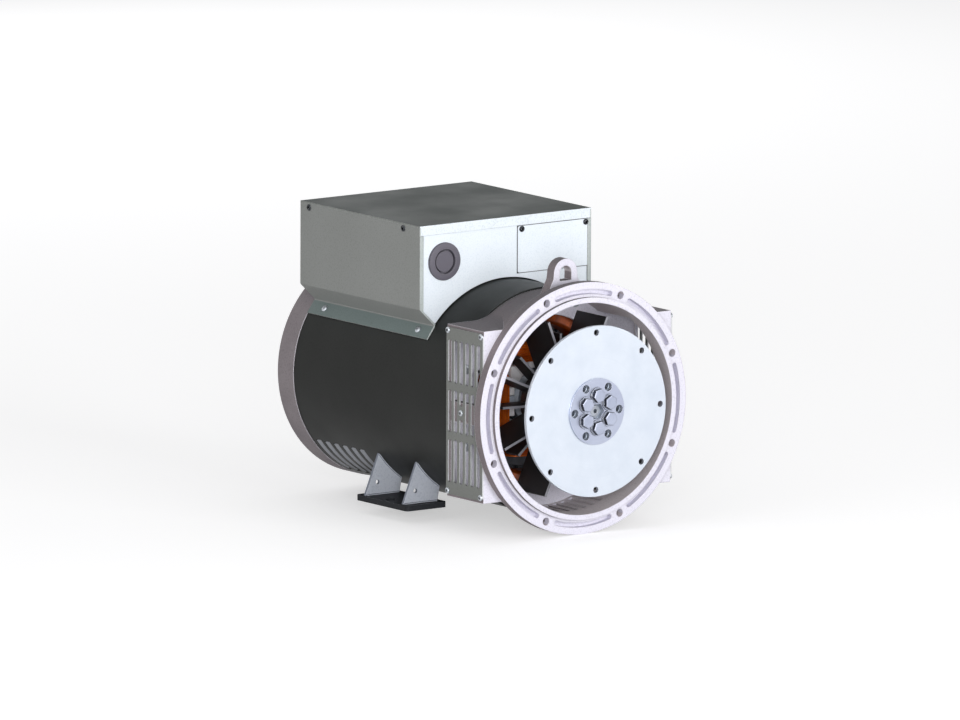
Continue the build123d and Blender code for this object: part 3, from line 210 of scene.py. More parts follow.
def blasted_casting(name, body, low, machined_and_lit, top, inner):
    """Aluminium as it leaves the sand: matt pebbled skin with soot in the lows.
    Front faces and the milled pockets are bright from the cutter; front faces also get painted
    light, tops painted shade and the inside painted light."""
    mat, tree, shader = blank_material(name)
    place = add_node(tree, "ShaderNodeTexCoord")
    point = place.outputs["Object"]
    rub, soft = edge_rub(tree, 1.6)
    # Flow marks of the melt, about 60 mm across, and sand grain. Real grain is 0.5 mm and would
    # not show, so it is drawn 2.4 mm wide.
    flow = add_node(
        tree, "ShaderNodeTexNoise", None, {"Vector": point, "Scale": repeats(60), "Detail": 4.0}
    )
    grain = add_node(
        tree, "ShaderNodeTexNoise", None, {"Vector": point, "Scale": repeats(2.4), "Detail": 2.0}
    )
    pits = add_node(
        tree, "ShaderNodeTexVoronoi", None, {"Vector": point, "Scale": repeats(7.5)}
    )
    flow_mix = add_node(
        tree,
        "ShaderNodeMapRange",
        None,
        {"Value": flow.outputs["Fac"], "From Min": 0.35, "From Max": 0.68},
    )
    skin = add_node(
        tree,
        "ShaderNodeMix",
        {"data_type": "RGBA"},
        {0: flow_mix.outputs["Result"], 6: linear(body), 7: linear(low)},
    )
    # Faces that look up are painted darker as painted shade, and faces toward the drive end painted
    # brighter as painted light
    facing = add_node(tree, "ShaderNodeSeparateXYZ", None, {0: place.outputs["Normal"]})
    top_shade_mask = add_node(
        tree,
        "ShaderNodeMapRange",
        None,
        {"Value": facing.outputs["Z"], "From Min": 0.55, "From Max": 0.95, "To Max": 0.85},
    )
    shaded = add_node(
        tree,
        "ShaderNodeMix",
        {"data_type": "RGBA"},
        {0: top_shade_mask.outputs["Result"], 6: skin.outputs[2], 7: linear(top)},
    )
    front_light_mask = add_node(
        tree,
        "ShaderNodeMapRange",
        None,
        {"Value": facing.outputs["Y"], "From Min": -0.7, "From Max": -0.96},
    )
    # The inside is painted brighter, as painted light that stands in for light reaching in: there
    # the surface looks towards the shaft
    across = add_node(
        tree, "ShaderNodeVectorMath", {"operation": "MULTIPLY"}, {0: point, 1: (1, 0, 1)}
    )
    outward = add_node(
        tree,
        "ShaderNodeVectorMath",
        {"operation": "DOT_PRODUCT"},
        {0: place.outputs["Normal"], 1: across.outputs[0]},
    )
    inner_light_mask = add_node(
        tree,
        "ShaderNodeMapRange",
        None,
        {"Value": outward.outputs["Value"], "From Min": -0.005, "From Max": -0.04},
    )
    lined = add_node(
        tree,
        "ShaderNodeMix",
        {"data_type": "RGBA"},
        {0: inner_light_mask.outputs["Result"], 6: shaded.outputs[2], 7: linear(inner)},
    )
    # The milled band of the flange holds the pockets. It runs from 160 to 169.5 mm off the axis
    # and is 10.3 mm deep.
    band_middle, band_half, band_depth = 0.16475, 0.00475, 0.0103
    reach = add_node(
        tree, "ShaderNodeVectorMath", {"operation": "LENGTH"}, {0: across.outputs[0]}
    )
    from_band = add_node(
        tree,
        "ShaderNodeMath",
        {"operation": "SUBTRACT"},
        {0: reach.outputs["Value"], 1: band_middle},
    )
    off_band = add_node(
        tree, "ShaderNodeMath", {"operation": "ABSOLUTE"}, {0: from_band.outputs[0]}
    )
    in_band = add_node(
        tree, "ShaderNodeMath", {"operation": "LESS_THAN"}, {0: off_band.outputs[0], 1: band_half}
    )
    spot = add_node(tree, "ShaderNodeSeparateXYZ", None, {0: point})
    shallow = add_node(
        tree, "ShaderNodeMath", {"operation": "LESS_THAN"}, {0: spot.outputs["Y"], 1: band_depth}
    )
    milled = add_node(
        tree,
        "ShaderNodeMath",
        {"operation": "MULTIPLY"},
        {0: in_band.outputs[0], 1: shallow.outputs[0]},
    )
    # Faces toward the drive end take the machined colour as painted light, besides the real milled
    # band
    machined_and_lit_mask = add_node(
        tree,
        "ShaderNodeMath",
        {"operation": "MAXIMUM"},
        {0: milled.outputs[0], 1: front_light_mask.outputs["Result"]},
    )
    faced = add_node(
        tree,
        "ShaderNodeMix",
        {"data_type": "RGBA"},
        {0: machined_and_lit_mask.outputs[0], 6: lined.outputs[2], 7: linear(machined_and_lit)},
    )
    speck = add_node(
        tree,
        "ShaderNodeMapRange",
        None,
        {"Value": grain.outputs["Fac"], "From Min": 0.5, "From Max": 0.72, "To Max": 0.22},
    )
    speckled = add_node(
        tree,
        "ShaderNodeMix",
        {"data_type": "RGBA", "blend_type": "MULTIPLY"},
        {0: speck.outputs["Result"], 6: faced.outputs[2], 7: linear("#8f8a8c")},
    )
    worn = add_node(
        tree,
        "ShaderNodeMix",
        {"data_type": "RGBA"},
        {0: rub, 6: speckled.outputs[2], 7: linear("#dedbe2")},
    )
    tree.links.new(worn.outputs[2], shader.inputs["Base Color"])
    shader.inputs["Metallic"].default_value = 0.2
    shader.inputs["Specular IOR Level"].default_value = 0.3
    rough = add_node(
        tree,
        "ShaderNodeMapRange",
        None,
        {"Value": front_light_mask.outputs["Result"], "To Min": 0.66, "To Max": 0.38},
    )
    rough_grain = add_node(
        tree,
        "ShaderNodeMath",
        {"operation": "MULTIPLY_ADD"},
        {0: grain.outputs["Fac"], 1: 0.16, 2: rough.outputs["Result"]},
    )
    tree.links.new(rough_grain.outputs[0], shader.inputs["Roughness"])
    pit_depth = add_node(
        tree,
        "ShaderNodeMath",
        {"operation": "MULTIPLY_ADD"},
        {0: pits.outputs["Distance"], 1: 0.5, 2: grain.outputs["Fac"]},
    )
    bump = add_node(
        tree,
        "ShaderNodeBump",
        None,
        {"Height": pit_depth.outputs[0], "Distance": 0.0003, "Strength": 0.35, "Normal": soft},
    )
    tree.links.new(bump.outputs[0], shader.inputs["Normal"])
    return mat


# The last three colours are the machined front with painted light, the painted shade on tops, and
# the painted light inside
sand_cast_aluminium = blasted_casting(
    "sand_cast_aluminium", "#8a8184", "#7b7376", "#d9d7e3", "#605d61", "#d4cccf"
)
finish(sand_cast_aluminium, "drive_end_housing")


# ---------------------------------------------------------------------------
# Side grilles: slotted 2 mm steel sheet, punched and powder coated grey. Five pan head screws
# with a cross recess hold each one over its window.
def powder_coat(name, paint, faded, bare, gloss, lit_front, top):
    """Powder coat on sheet steel: fine speckle and orange peel, bare metal where corners rub.
    Faces that look to the drive end are painted lighter, as painted light, and faces that look up
    are painted darker, as painted shade."""
    mat, tree, shader = blank_material(name)
    place = add_node(tree, "ShaderNodeTexCoord")
    point = place.outputs["Object"]
    rub, soft = edge_rub(tree, 1.0)
    cloud = add_node(
        tree, "ShaderNodeTexNoise", None, {"Vector": point, "Scale": repeats(90), "Detail": 5.0}
    )
    fleck = add_node(
        tree, "ShaderNodeTexNoise", None, {"Vector": point, "Scale": repeats(5), "Detail": 3.0}
    )
    # Powder grains and orange peel are about 1 mm across and are drawn at 2 and 2.5 mm
    speck = add_node(
        tree, "ShaderNodeTexNoise", None, {"Vector": point, "Scale": repeats(2), "Detail": 2.0}
    )
    peel = add_node(
        tree, "ShaderNodeTexNoise", None, {"Vector": point, "Scale": repeats(2.5), "Detail": 1.0}
    )
    cloud_mix = add_node(
        tree,
        "ShaderNodeMapRange",
        None,
        {"Value": cloud.outputs["Fac"], "From Min": 0.3, "From Max": 0.75, "To Max": 0.22},
    )
    # The top colour is painted shade on faces that look up, and the front colour painted light on
    # faces toward the drive end
    side = add_node(tree, "ShaderNodeSeparateXYZ", None, {0: place.outputs["Normal"]})
    top_shade_mask = add_node(
        tree,
        "ShaderNodeMapRange",
        None,
        {"Value": side.outputs["Z"], "From Min": 0.35, "From Max": 0.55},
    )
    front_light_mask = add_node(
        tree,
        "ShaderNodeMapRange",
        None,
        {"Value": side.outputs["Y"], "From Min": -0.7, "From Max": -0.96},
    )
    tone = add_node(
        tree,
        "ShaderNodeMix",
        {"data_type": "RGBA"},
        {0: top_shade_mask.outputs["Result"], 6: linear(paint), 7: linear(top)},
    )
    faced = add_node(
        tree,
        "ShaderNodeMix",
        {"data_type": "RGBA"},
        {0: front_light_mask.outputs["Result"], 6: tone.outputs[2], 7: linear(lit_front)},
    )
    weathered = add_node(
        tree,
        "ShaderNodeMix",
        {"data_type": "RGBA", "blend_type": "MULTIPLY"},
        {0: cloud_mix.outputs["Result"], 6: faced.outputs[2], 7: linear(faded)},
    )
    speck_mix = add_node(
        tree,
        "ShaderNodeMapRange",
        None,
        {"Value": speck.outputs["Fac"], "From Min": 0.5, "From Max": 0.7, "To Max": 0.6},
    )
    speckled = add_node(
        tree,
        "ShaderNodeMix",
        {"data_type": "RGBA", "blend_type": "MULTIPLY"},
        {0: speck_mix.outputs["Result"], 6: weathered.outputs[2], 7: linear(faded)},
    )
    patchy = add_node(
        tree,
        "ShaderNodeMapRange",
        None,
        {"Value": fleck.outputs["Fac"], "From Min": 0.42, "From Max": 0.6, "To Max": 0.8},
    )
    chipped = add_node(
        tree, "ShaderNodeMath", {"operation": "MULTIPLY"}, {0: rub, 1: patchy.outputs["Result"]}
    )
    colour = add_node(
        tree,
        "ShaderNodeMix",
        {"data_type": "RGBA"},
        {0: chipped.outputs[0], 6: speckled.outputs[2], 7: linear(bare)},
    )
    tree.links.new(colour.outputs[2], shader.inputs["Base Color"])
    shader.inputs["Specular IOR Level"].default_value = 0.12
    rough = add_node(
        tree,
        "ShaderNodeMapRange",
        None,
        {
            "Value": cloud.outputs["Fac"],
            "From Min": 0.3,
            "From Max": 0.7,
            "To Min": gloss - 0.05,
            "To Max": gloss + 0.08,
        },
    )
    tree.links.new(rough.outputs["Result"], shader.inputs["Roughness"])
    bump = add_node(
        tree,
        "ShaderNodeBump",
        None,
        {"Height": peel.outputs["Fac"], "Distance": 0.0001, "Strength": 0.25, "Normal": soft},
    )
    tree.links.new(bump.outputs[0], shader.inputs["Normal"])
    return mat


def plated_steel(name, bright, dull, gloss, lay_mm=1.6, flank_shade=None):
    """Plated or turned steel: lathe rings round the shaft's axis, and dulled handling marks.
    Flanks that run along the shaft can be painted darker, as painted shade."""
    mat, tree, shader = blank_material(name)
    place = add_node(tree, "ShaderNodeTexCoord")
    point = place.outputs["Object"]
    rub, soft = edge_rub(tree, 0.5)
    across = add_node(
        tree, "ShaderNodeVectorMath", {"operation": "MULTIPLY"}, {0: point, 1: (1, 0, 1)}
    )
    reach = add_node(
        tree, "ShaderNodeVectorMath", {"operation": "LENGTH"}, {0: across.outputs[0]}
    )
    rings = add_node(
        tree,
        "ShaderNodeTexNoise",
        {"noise_dimensions": "1D"},
        {"W": reach.outputs["Value"], "Scale": repeats(lay_mm), "Detail": 3.0},
    )
    smear = add_node(
        tree, "ShaderNodeTexNoise", None, {"Vector": point, "Scale": repeats(38), "Detail": 5.0}
    )
    smear_mix = add_node(
        tree,
        "ShaderNodeMapRange",
        None,
        {"Value": smear.outputs["Fac"], "From Min": 0.38, "From Max": 0.7},
    )
    tone = add_node(
        tree,
        "ShaderNodeMix",
        {"data_type": "RGBA"},
        {0: smear_mix.outputs["Result"], 6: linear(bright), 7: linear(dull)},
    )
    ring_tone = add_node(
        tree,
        "ShaderNodeMapRange",
        None,
        {"Value": rings.outputs["Fac"], "From Min": 0.35, "From Max": 0.75, "To Max": 0.3},
    )
    ringed = add_node(
        tree,
        "ShaderNodeMix",
        {"data_type": "RGBA"},
        {0: ring_tone.outputs["Result"], 6: tone.outputs[2], 7: linear(dull)},
    )
    # Faces that run along the shaft take the flank colour, which is painted shade
    side = add_node(tree, "ShaderNodeSeparateXYZ", None, {0: place.outputs["Normal"]})
    along = add_node(tree, "ShaderNodeMath", {"operation": "ABSOLUTE"}, {0: side.outputs["Y"]})
    turned = add_node(
        tree,
        "ShaderNodeMapRange",
        None,
        {"Value": along.outputs[0], "From Min": 0.45, "From Max": 0.8},
    )
    flank_shaded = add_node(
        tree,
        "ShaderNodeMix",
        {"data_type": "RGBA"},
        {0: turned.outputs["Result"], 6: linear(flank_shade or bright), 7: ringed.outputs[2]},
    )
    worn = add_node(
        tree,
        "ShaderNodeMix",
        {"data_type": "RGBA"},
        {0: rub, 6: flank_shaded.outputs[2], 7: linear("#e4e7ec")},
    )
    tree.links.new(worn.outputs[2], shader.inputs["Base Color"])
    shader.inputs["Metallic"].default_value = 0.9
    rough = add_node(
        tree,
        "ShaderNodeMapRange",
        None,
        {"Value": smear.outputs["Fac"], "To Min": gloss - 0.1, "To Max": gloss + 0.14},
    )
    tree.links.new(rough.outputs["Result"], shader.inputs["Roughness"])
    bump = add_node(
        tree,
        "ShaderNodeBump",
        None,
        {"Height": rings.outputs["Fac"], "Distance": 0.00005, "Strength": 0.3, "Normal": soft},
    )
    tree.links.new(bump.outputs[0], shader.inputs["Normal"])
    return mat


def verts_in(found):
    """The vertices among what an operator returned."""
    return [g for g in found if isinstance(g, bmesh.types.BMVert)]


def stamp(target, shape, where):
    """Adds a finished shape to a larger one at its place."""
    bmesh.ops.transform(shape, matrix=where, verts=shape.verts)
    copy = bpy.data.meshes.new("stamp")
    shape.to_mesh(copy)
    shape.free()
    target.from_mesh(copy)
    bpy.data.meshes.remove(copy)


def settle(name, bm, mat, body, slot, *stands_for, crease=38):
    """Makes a finished bmesh into a named piece that rides on a body."""
    bmesh.ops.remove_doubles(bm, verts=bm.verts, dist=0.000002)
    bmesh.ops.recalc_face_normals(bm, faces=bm.faces)
    mesh = bpy.data.meshes.new(name)
    bm.to_mesh(mesh)
    bm.free()
    mesh.shade_smooth()
    mesh.set_sharp_from_angle(angle=math.radians(crease))
    mesh.materials.append(mat)
    piece = bpy.data.objects.new(name, mesh)
    bpy.context.scene.collection.objects.link(piece)
    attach(piece, body)
    if stands_for:
        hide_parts(*stands_for)
    return piece


def facing(spot, direction, turn=0.0):
    """Matrix that stands a shape made on the XY plane at a spot in millimetres, facing out."""
    out = Vector(direction).to_track_quat("Z", "Y").to_matrix().to_4x4()
    return Matrix.Translation(Vector(spot) / 1000) @ out @ Matrix.Rotation(turn, 4, "Z")


def cross_screw(target, where, radius, height):
    """Adds a pan head with a cross recess. Sizes are in millimetres."""
    radius, height = radius / 1000, height / 1000
    bm = bmesh.new()
    bmesh.ops.create_grid(bm, x_segments=3, y_segments=3, size=0.56 * radius)
    middles = {f: f.calc_center_median() for f in bm.faces}
    corners = [f for f, mid in middles.items() if min(abs(mid.x), abs(mid.y)) > 0.1 * radius]
    bmesh.ops.delete(bm, geom=corners, context="FACES")
    cross = list(bm.faces)
    lip = [e for e in bm.edges if e.is_boundary]
    rim = bmesh.ops.create_circle(bm, segments=24, radius=0.66 * radius)["verts"]
    loop = list({e for v in rim for e in v.link_edges})
    bmesh.ops.bridge_loops(bm, edges=lip + loop)
    for grow, drop in ((0.9, -0.22), (1.0, -0.5), (1.0, -1.0)):
        grown = bmesh.ops.extrude_edge_only(bm, edges=loop)["geom"]
        ring = verts_in(grown)
        loop = [e for e in {e for v in ring for e in v.link_edges} if set(e.verts) <= set(ring)]
        reach = Vector((ring[0].co.x, ring[0].co.y, 0)).length
        wider = grow * radius / reach
        bmesh.ops.scale(bm, verts=ring, vec=(wider, wider, 1))
        bmesh.ops.translate(bm, verts=ring, vec=(0, 0, drop * height - ring[0].co.z))
    bmesh.ops.contextual_create(bm, geom=loop)
    sunk = bmesh.ops.extrude_face_region(bm, geom=cross)["geom"]
    bmesh.ops.delete(bm, geom=cross, context="FACES_ONLY")
    low = verts_in(sunk)
    bmesh.ops.translate(bm, verts=low, vec=(0, 0, -0.55 * height))
    stamp(target, bm, where @ Matrix.Translation((0, 0, height)))


# The last two colours are painted light on faces toward the drive end and painted shade on tops
grille_paint = powder_coat(
    "grille_powder_coat", "#80827f", "#e2e2e0", "#b9bcc0", 0.5, "#d5d7da", "#6c6e6c"
)
finish(grille_paint, "left_grille", "right_grille")
zinc_plate = plated_steel("zinc_plated_steel", "#c3c8ce", "#9aa0a8", 0.34)
grille_face_x = 163.8
grille_screw_spots = ((18.3, -113.5), (18.3, 113.5), (96, -113.5), (96, 113.5), (64.8, 0))
grille_screw_radius, grille_screw_height = 4.3, 2.2
bm = bmesh.new()
for hand in (-1, 1):
    for y, z in grille_screw_spots:
        spin = math.radians(17 * y + 40 * hand)
        spot = facing((hand * grille_face_x, y, z), (hand, 0, 0), spin)
        cross_screw(bm, spot, grille_screw_radius, grille_screw_height)
settle("grille_pan_screws", bm, zinc_plate, "stator", "zinc_steel", "grille_screws")

# ---------------------------------------------------------------------------
# Frame tube: 3 mm steel rolled round the stator and welded, in satin black. The fixing rings
# inside it are the same steel and paint.
# The last two colours are painted light on faces toward the drive end and painted shade on tops
frame_black = powder_coat(
    "frame_satin_black", "#262726", "#d8d8d6", "#6f7272", 0.42, "#353736", "#262827"
)
finish(frame_black, "frame_tube", "front_fixing_ring", "rear_fixing_ring")

# A blade stands in each outlet slot; its pale grey is painted light, standing in for the lit inside
# seen through the slot
slot_light_coat = powder_coat(
    "slot_light_powder_coat", "#a6a8ae", "#e2e3e6", "#c4c7cb", 0.5, "#a6a8ae", "#a6a8ae"
)
slot_first_y, slot_pitch, slot_half, slot_count = 352.0, 20.6, 6.25, 6
blade_start, blade_sweep = math.radians(-37.4), math.radians(-25.8)
blade_outline = ((158.2, 0), (158.2, -1), (153.8, -8), (153.8, -7))
bm = bmesh.new()
for hand in (-1, 1):
    for k in range(slot_count):
        rear = slot_first_y + slot_pitch * k + slot_half - 0.2
        blade = bmesh.new()
        corners = [
            blade.verts.new(
                (hand * r * math.cos(blade_start), rear + y, r * math.sin(blade_start))
            )
            for r, y in blade_outline
        ]
        blade.faces.new(corners)
        bmesh.ops.spin(
            blade,
            geom=blade.verts[:] + blade.edges[:] + blade.faces[:],
            cent=(0, 0, 0),
            axis=(0, 1, 0),
            angle=-hand * blade_sweep,
            steps=16,
        )
        stamp(bm, blade, Matrix.Scale(0.001, 4))
settle("outlet_slot_light_blades", bm, slot_light_coat, "stator", "frame_paint")

# ---------------------------------------------------------------------------
# Drive end bolts: M6 hexagon bolts of zinc plated steel. They stand inside the housing and pull
# it on to the front fixing ring of the frame.
def round_off(bm, edges, offset, segments=2):
    """Rounds edges over."""
    bmesh.ops.bevel(
        bm,
        geom=edges,
        offset=offset,
        segments=segments,
        profile=0.5,
        affect="EDGES",
        material=-1,
    )


def hex_bolt(target, where, flats, height, washer=1.0):
    """Adds a chamfered hexagon head on its washer. Sizes are in millimetres."""
    flats, height, washer = flats / 1000, height / 1000, washer / 1000
    ring = bmesh.new()
    bmesh.ops.create_cone(
        ring,
        segments=28,
        cap_ends=True,
        radius1=flats * 0.66,
        radius2=flats * 0.64,
        depth=washer,
        matrix=Matrix.Translation((0, 0, washer / 2)),
    )
    stamp(target, ring, where)
    bm = bmesh.new()
    bmesh.ops.create_circle(bm, segments=6, radius=flats / math.sqrt(3), cap_ends=True)
    raised = bmesh.ops.extrude_face_region(bm, geom=bm.faces[:])["geom"]
    top = verts_in(raised)
    bmesh.ops.translate(bm, verts=top, vec=(0, 0, height - washer))
    rim = [e for e in bm.edges if set(e.verts) <= set(top)]
    round_off(bm, rim, 0.07 * flats)
    stamp(target, bm, where @ Matrix.Translation((0, 0, washer)))


end_bolts, end_bolt_circle, end_bolt_flats, end_bolt_head = 8, 143.0, 10, 4
end_wall_y = 94.0
bm = bmesh.new()
for k in range(end_bolts):
    a = math.pi / end_bolts * (2 * k + 1)
    spot = (end_bolt_circle * math.cos(a), end_wall_y, end_bolt_circle * math.sin(a))
    hex_bolt(bm, facing(spot, (0, -1, 0), 0.4 * k), end_bolt_flats, end_bolt_head)
settle(
    "drive_end_hex_bolts", bm, zinc_plate, "stator", "zinc_steel", "drive_end_bolts", crease=18
)


# ---------------------------------------------------------------------------
# Stator: a stack of 0.5 mm electrical steel plates, pressed into the frame, with varnished copper
# windings in its slots.
def laminated_steel(name, steel, oxide):
    """Stacked plates with a blued skin. The 0.5 mm plates are drawn 2 mm thick to show."""
    mat, tree, shader = blank_material(name)
    point = add_node(tree, "ShaderNodeTexCoord").outputs["Object"]
    plates = add_node(
        tree,
        "ShaderNodeTexWave",
        {"wave_type": "BANDS", "bands_direction": "Y"},
        {"Vector": point, "Scale": repeats(2) / (2 * math.pi), "Distortion": 0.6, "Detail": 2.0},
    )
    stain = add_node(
        tree, "ShaderNodeTexNoise", None, {"Vector": point, "Scale": repeats(25), "Detail": 4.0}
    )
    tone = add_node(
        tree,
        "ShaderNodeMix",
        {"data_type": "RGBA"},
        {0: stain.outputs["Fac"], 6: linear(steel), 7: linear(oxide)},
    )
    lined = add_node(
        tree,
        "ShaderNodeMix",
        {"data_type": "RGBA", "blend_type": "MULTIPLY"},
        {0: plates.outputs["Fac"], 6: tone.outputs[2], 7: linear("#8c8f94")},
    )
    tree.links.new(lined.outputs[2], shader.inputs["Base Color"])
    shader.inputs["Metallic"].default_value = 0.7
    rough = add_node(
        tree,
        "ShaderNodeMapRange",
        None,
        {"Value": stain.outputs["Fac"], "To Min": 0.38, "To Max": 0.62},
    )
    tree.links.new(rough.outputs["Result"], shader.inputs["Roughness"])
    bump = add_node(
        tree,
        "ShaderNodeBump",
        None,
        {"Height": plates.outputs["Fac"], "Distance": 0.0002, "Strength": 0.4},
    )
    tree.links.new(bump.outputs[0], shader.inputs["Normal"])
    return mat


def varnished_copper(name, bright, dark, wire_mm):
    """Enamelled wire dipped in varnish: each strand has its own tint, with amber in the lows."""
    mat, tree, shader = blank_material(name)
    point = add_node(tree, "ShaderNodeTexCoord").outputs["Object"]
    strand = add_node(tree, "ShaderNodeNewGeometry").outputs["Random Per Island"]
    drip = add_node(
        tree, "ShaderNodeTexNoise", None, {"Vector": point, "Scale": repeats(14), "Detail": 4.0}
    )
    wires = add_node(
        tree,
        "ShaderNodeTexNoise",
        None,
        {"Vector": point, "Scale": repeats(wire_mm), "Detail": 2.0, "Distortion": 0.8},
    )
    blend = add_node(
        tree,
        "ShaderNodeMath",
        {"operation": "MULTIPLY_ADD", "use_clamp": True},
        {0: strand, 1: 0.45, 2: drip.outputs["Fac"]},
    )
    tone_mix = add_node(
        tree,
        "ShaderNodeMapRange",
        None,
        {"Value": blend.outputs[0], "From Min": 0.35, "From Max": 1.0},
    )
    tone = add_node(
        tree,
        "ShaderNodeMix",
        {"data_type": "RGBA"},
        {0: tone_mix.outputs["Result"], 6: linear(bright), 7: linear(dark)},
    )
    wire_shade = add_node(
        tree,
        "ShaderNodeMapRange",
        None,
        {"Value": wires.outputs["Fac"], "From Min": 0.45, "From Max": 0.7, "To Max": 0.5},
    )
    lined = add_node(
        tree,
        "ShaderNodeMix",
        {"data_type": "RGBA"},
        {0: wire_shade.outputs["Result"], 6: tone.outputs[2], 7: linear(dark)},
    )
    tree.links.new(lined.outputs[2], shader.inputs["Base Color"])
    shader.inputs["Metallic"].default_value = 0.55
    shader.inputs["Coat Weight"].default_value = 0.6
    shader.inputs["Coat Roughness"].default_value = 0.2
    rough = add_node(
        tree,
        "ShaderNodeMapRange",
        None,
        {"Value": drip.outputs["Fac"], "To Min": 0.24, "To Max": 0.5},
    )
    tree.links.new(rough.outputs["Result"], shader.inputs["Roughness"])
    bump = add_node(
        tree,
        "ShaderNodeBump",
        None,
        {"Height": wires.outputs["Fac"], "Distance": 0.0004, "Strength": 0.5},
    )
    tree.links.new(bump.outputs[0], shader.inputs["Normal"])
    return mat


electrical_steel = laminated_steel("electrical_steel_stack", "#7c7f85", "#55585f")
stator_copper = varnished_copper("stator_copper", "#c25a14", "#7a330e", 2.6)
finish(electrical_steel, "stator_core")
finish(stator_copper, "stator_windings")

# ---------------------------------------------------------------------------
# Rear end shield: a die-cast aluminium cover with eight bolts round its rim. The bearing cap in
# its middle has four screws, and a wave washer loads the bearing.
# The last three colours are the machined front with painted light, the painted shade on tops, and
# the painted light inside
die_cast_aluminium = blasted_casting(
    "die_cast_aluminium", "#8b8487", "#7d767a", "#a6a2a8", "#6a676b", "#aaa4a8"
)
finish(die_cast_aluminium, "rear_end_shield", "bearing_cap")
finish(zinc_plate, "preload_washer")
rear_face_y = 513.0
bm = bmesh.new()
for k in range(end_bolts):
    a = math.pi / end_bolts * (2 * k + 1)
    spot = (end_bolt_circle * math.cos(a), rear_face_y, end_bolt_circle * math.sin(a))
    hex_bolt(bm, facing(spot, (0, 1, 0), 0.5 * k), end_bolt_flats, end_bolt_head)
settle("rear_end_hex_bolts", bm, zinc_plate, "stator", "zinc_steel", "rear_end_bolts", crease=18)
cap_screw_circle, cap_screw_radius, cap_screw_height = 54.5, 4.5, 2.4
cap_screw_reach = cap_screw_circle / math.sqrt(2)
bm = bmesh.new()
for x in (-cap_screw_reach, cap_screw_reach):
    for z in (-cap_screw_reach, cap_screw_reach):
        spot = facing((x, rear_face_y, z), (0, 1, 0), 0.03 * x)
        cross_screw(bm, spot, cap_screw_radius, cap_screw_height)
settle("bearing_cap_pan_screws", bm, zinc_plate, "stator", "zinc_steel", "bearing_cap_screws")


# ---------------------------------------------------------------------------
# Bearing: one sealed ball bearing at the rear end. Rings and balls are ground steel, the cage is
# moulded polyamide, and a circlip holds the inner ring on the shaft.
def moulded(name, colour, shade, gloss, grain_mm, lit_front=None):
    """Moulded plastic or rubber: fine spark-eroded grain, a slight bloom, and paler rubbed corners.
    Faces that look to the drive end can be painted lighter, as painted light."""
    mat, tree, shader = blank_material(name)
    place = add_node(tree, "ShaderNodeTexCoord")
    point = place.outputs["Object"]
    rub, soft = edge_rub(tree, 0.6)
    bloom = add_node(
        tree, "ShaderNodeTexNoise", None, {"Vector": point, "Scale": repeats(30), "Detail": 4.0}
    )
    grain = add_node(
        tree,
        "ShaderNodeTexNoise",
        None,
        {"Vector": point, "Scale": repeats(grain_mm), "Detail": 2.0},
    )
    bloom_mix = add_node(
        tree,
        "ShaderNodeMapRange",
        None,
        {"Value": bloom.outputs["Fac"], "From Min": 0.35, "From Max": 0.68},
    )
    tone = add_node(
        tree,
        "ShaderNodeMix",
        {"data_type": "RGBA"},
        {0: bloom_mix.outputs["Result"], 6: linear(colour), 7: linear(shade)},
    )
    # Faces toward the drive end take the front colour, which is painted light
    side = add_node(tree, "ShaderNodeSeparateXYZ", None, {0: place.outputs["Normal"]})
    front_light_mask = add_node(
        tree,
        "ShaderNodeMapRange",
        None,
        {"Value": side.outputs["Y"], "From Min": -0.7, "From Max": -0.96},
    )
    fronted = add_node(
        tree,
        "ShaderNodeMix",
        {"data_type": "RGBA"},
        {0: front_light_mask.outputs["Result"], 6: tone.outputs[2], 7: linear(lit_front or colour)},
    )
    pale = add_node(tree, "ShaderNodeMath", {"operation": "MULTIPLY"}, {0: rub, 1: 0.3})
    worn = add_node(
        tree,
        "ShaderNodeMix",
        {"data_type": "RGBA"},
        {0: pale.outputs[0], 6: fronted.outputs[2], 7: linear("#d5d7da")},
    )
    tree.links.new(worn.outputs[2], shader.inputs["Base Color"])
    rough = add_node(
        tree,
        "ShaderNodeMapRange",
        None,
        {"Value": bloom.outputs["Fac"], "To Min": gloss - 0.08, "To Max": gloss + 0.12},
    )
    tree.links.new(rough.outputs["Result"], shader.inputs["Roughness"])
    bump = add_node(
        tree,
        "ShaderNodeBump",
        None,
        {"Height": grain.outputs["Fac"], "Distance": 0.0001, "Strength": 0.3, "Normal": soft},
    )
    tree.links.new(bump.outputs[0], shader.inputs["Normal"])
    return mat


ground_steel = plated_steel("ground_bearing_steel", "#b9bec6", "#8f959e", 0.2, 0.8)
cage_polyamide = moulded("cage_polyamide", "#d8cfb4", "#c4b995", 0.5, 1.2)
finish(
    ground_steel, "bearing_outer_ring", "bearing_inner_ring", "bearing_balls", "bearing_circlip"
)
finish(cage_polyamide, "bearing_cage")

# ---------------------------------------------------------------------------
# Shaft and drive coupling: a turned steel shaft with a flanged hub. The bright disc pack and the
# clamp ring are bolted to it with six high-tensile bolts.
turned_shaft_steel = plated_steel("turned_shaft_steel", "#b4b9c1", "#8b919b", 0.3)
disc_steel = plated_steel("bright_disc_steel", "#c6ccd5", "#bec5cf", 0.5, 2.2)
clamp_steel = plated_steel("ground_clamp_steel", "#b0b6c8", "#a2a8bb", 0.36, 1.6)
